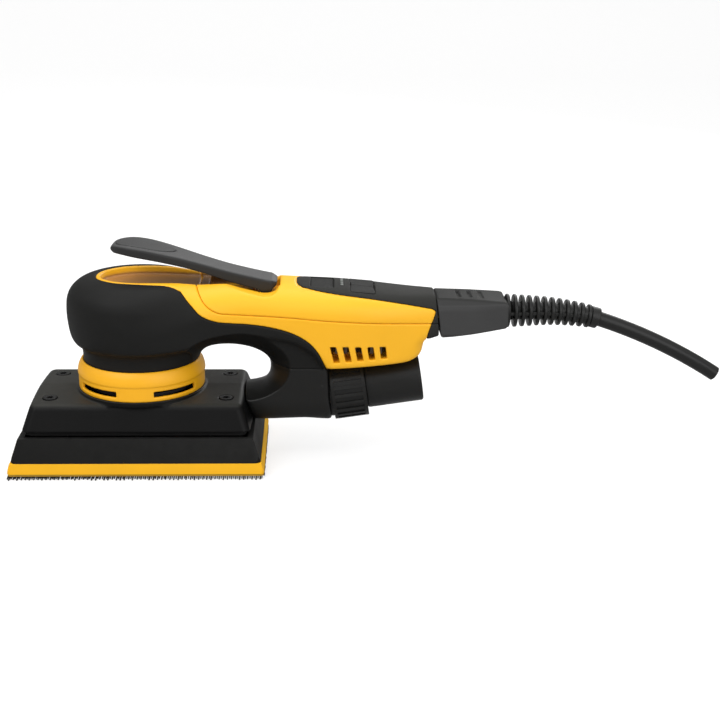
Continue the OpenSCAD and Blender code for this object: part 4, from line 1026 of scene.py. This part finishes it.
# name, place, target, size, power in watts
LIGHTS = [
    ("key", (-0.55, -0.75, 1.05), (0.06, 0, 0.05), 0.7, 7.0),
    ("fill", (0.75, -0.95, 0.55), (0.1, 0, 0.06), 0.9, 4.4),
    ("top", (0.1, 0.25, 1.2), (0.08, 0, 0.06), 1.1, 5.0),
    ("rim", (0.5, 0.9, 0.6), (0.08, 0, 0.06), 0.6, 3),
]
CAMERA_PLACE = 0.09040621, -0.68724858, 0.27170249
CAMERA_TURN = Matrix(((0.9993121757871862, 2.920969659457595e-05, -0.037083344917541394),
                      (-0.035319456234584, 0.3054939666348793, -0.9515387392854694),
                      (0.011300943977076596, 0.9521940114790056, 0.3052848721583598)))
scene = bpy.context.scene


def build_floor():
    mesh = bpy.data.meshes.new("floor")
    mesh.from_pydata([(x, y, z) for y, z in FLOOR_PROFILE for x in (-4, 4)], [],
                     [(2 * i, 2 * i + 1, 2 * i + 3, 2 * i + 2)
                      for i in range(len(FLOOR_PROFILE) - 1)])
    floor = link_object("floor", mesh)
    floor.location.z = -0.0004
    smooth_faces(mesh)
    material = make_finish("stage_floor", colour=(0.42, 0.42, 0.42, 1), rough=0.9, vary=0.03,
                           grain=300, bump=0.02, blotch=0.004, wear=0.0, spec=0.1)
    # the floor glows to the camera only
    tree = material.node_tree
    seen = add_node(tree, "LightPath", {}).outputs["Is Camera Ray"]
    glow = add_node(tree, "Math", {0: seen, 1: 0.66}, operation="MULTIPLY").outputs[0]
    surface = tree.nodes["Principled BSDF"]
    surface.inputs["Emission Color"].default_value = (1, 1, 1, 1)
    tree.links.new(glow, surface.inputs["Emission Strength"])
    mesh.materials.append(material)


def build_world():
    """White to the camera; as a light, bright overhead and dim round the horizon."""
    # a scene may come with its own world and background
    world = scene.world or bpy.data.worlds.new("studio")
    scene.world = world
    world.use_nodes = True
    tree = world.node_tree
    background = tree.nodes.get("Background") or tree.nodes.new("ShaderNodeBackground")
    background.inputs[0].default_value = (1, 1, 1, 1)
    way = add_node(tree, "TexCoord", {}).outputs["Generated"]
    height = add_node(tree, "SeparateXYZ", {0: way}).outputs["Z"]
    light = map_range(tree, height, span=(-0.1, 0.9), to=(0.34, 0.85),
                      interpolation_type="SMOOTHSTEP")
    seen = add_node(tree, "LightPath", {}).outputs["Is Camera Ray"]
    strength = add_node(tree, "Mix", {0: seen, 2: light, 3: 1.0}).outputs[0]
    tree.links.new(strength, background.inputs[1])


def build_lights():
    for name, place, target, size, power in LIGHTS:
        data = bpy.data.lights.new(name, "AREA")
        data.energy, data.size = power, size
        light = link_object(name, data)
        light.location = place
        aim = Vector(target) - Vector(place)
        light.rotation_euler = aim.to_track_quat("-Z", "Y").to_euler()


def build_camera():
    scene.view_settings.view_transform = "Standard"
    data = bpy.data.cameras.new("camera")
    camera = link_object("camera", data)
    scene.camera = camera
    data.sensor_width = 36
    data.lens = 66.8813
    data.clip_start, data.clip_end = 0.01, 20
    camera.matrix_world = Matrix.Translation(CAMERA_PLACE) @ CAMERA_TURN.to_4x4()


build_grip()
build_housing()
build_top_cover()
build_rear_trim()
build_panel()
for button_name in BUTTONS:
    build_button(button_name)
build_duct()
build_shroud()
build_ring()
build_lever()
build_connector()
build_relief()
build_net()
EDGES["cable_jacket"] = PLAIN_EDGE
finish_cad_pieces()
build_floor()
build_world()
build_lights()
build_camera()
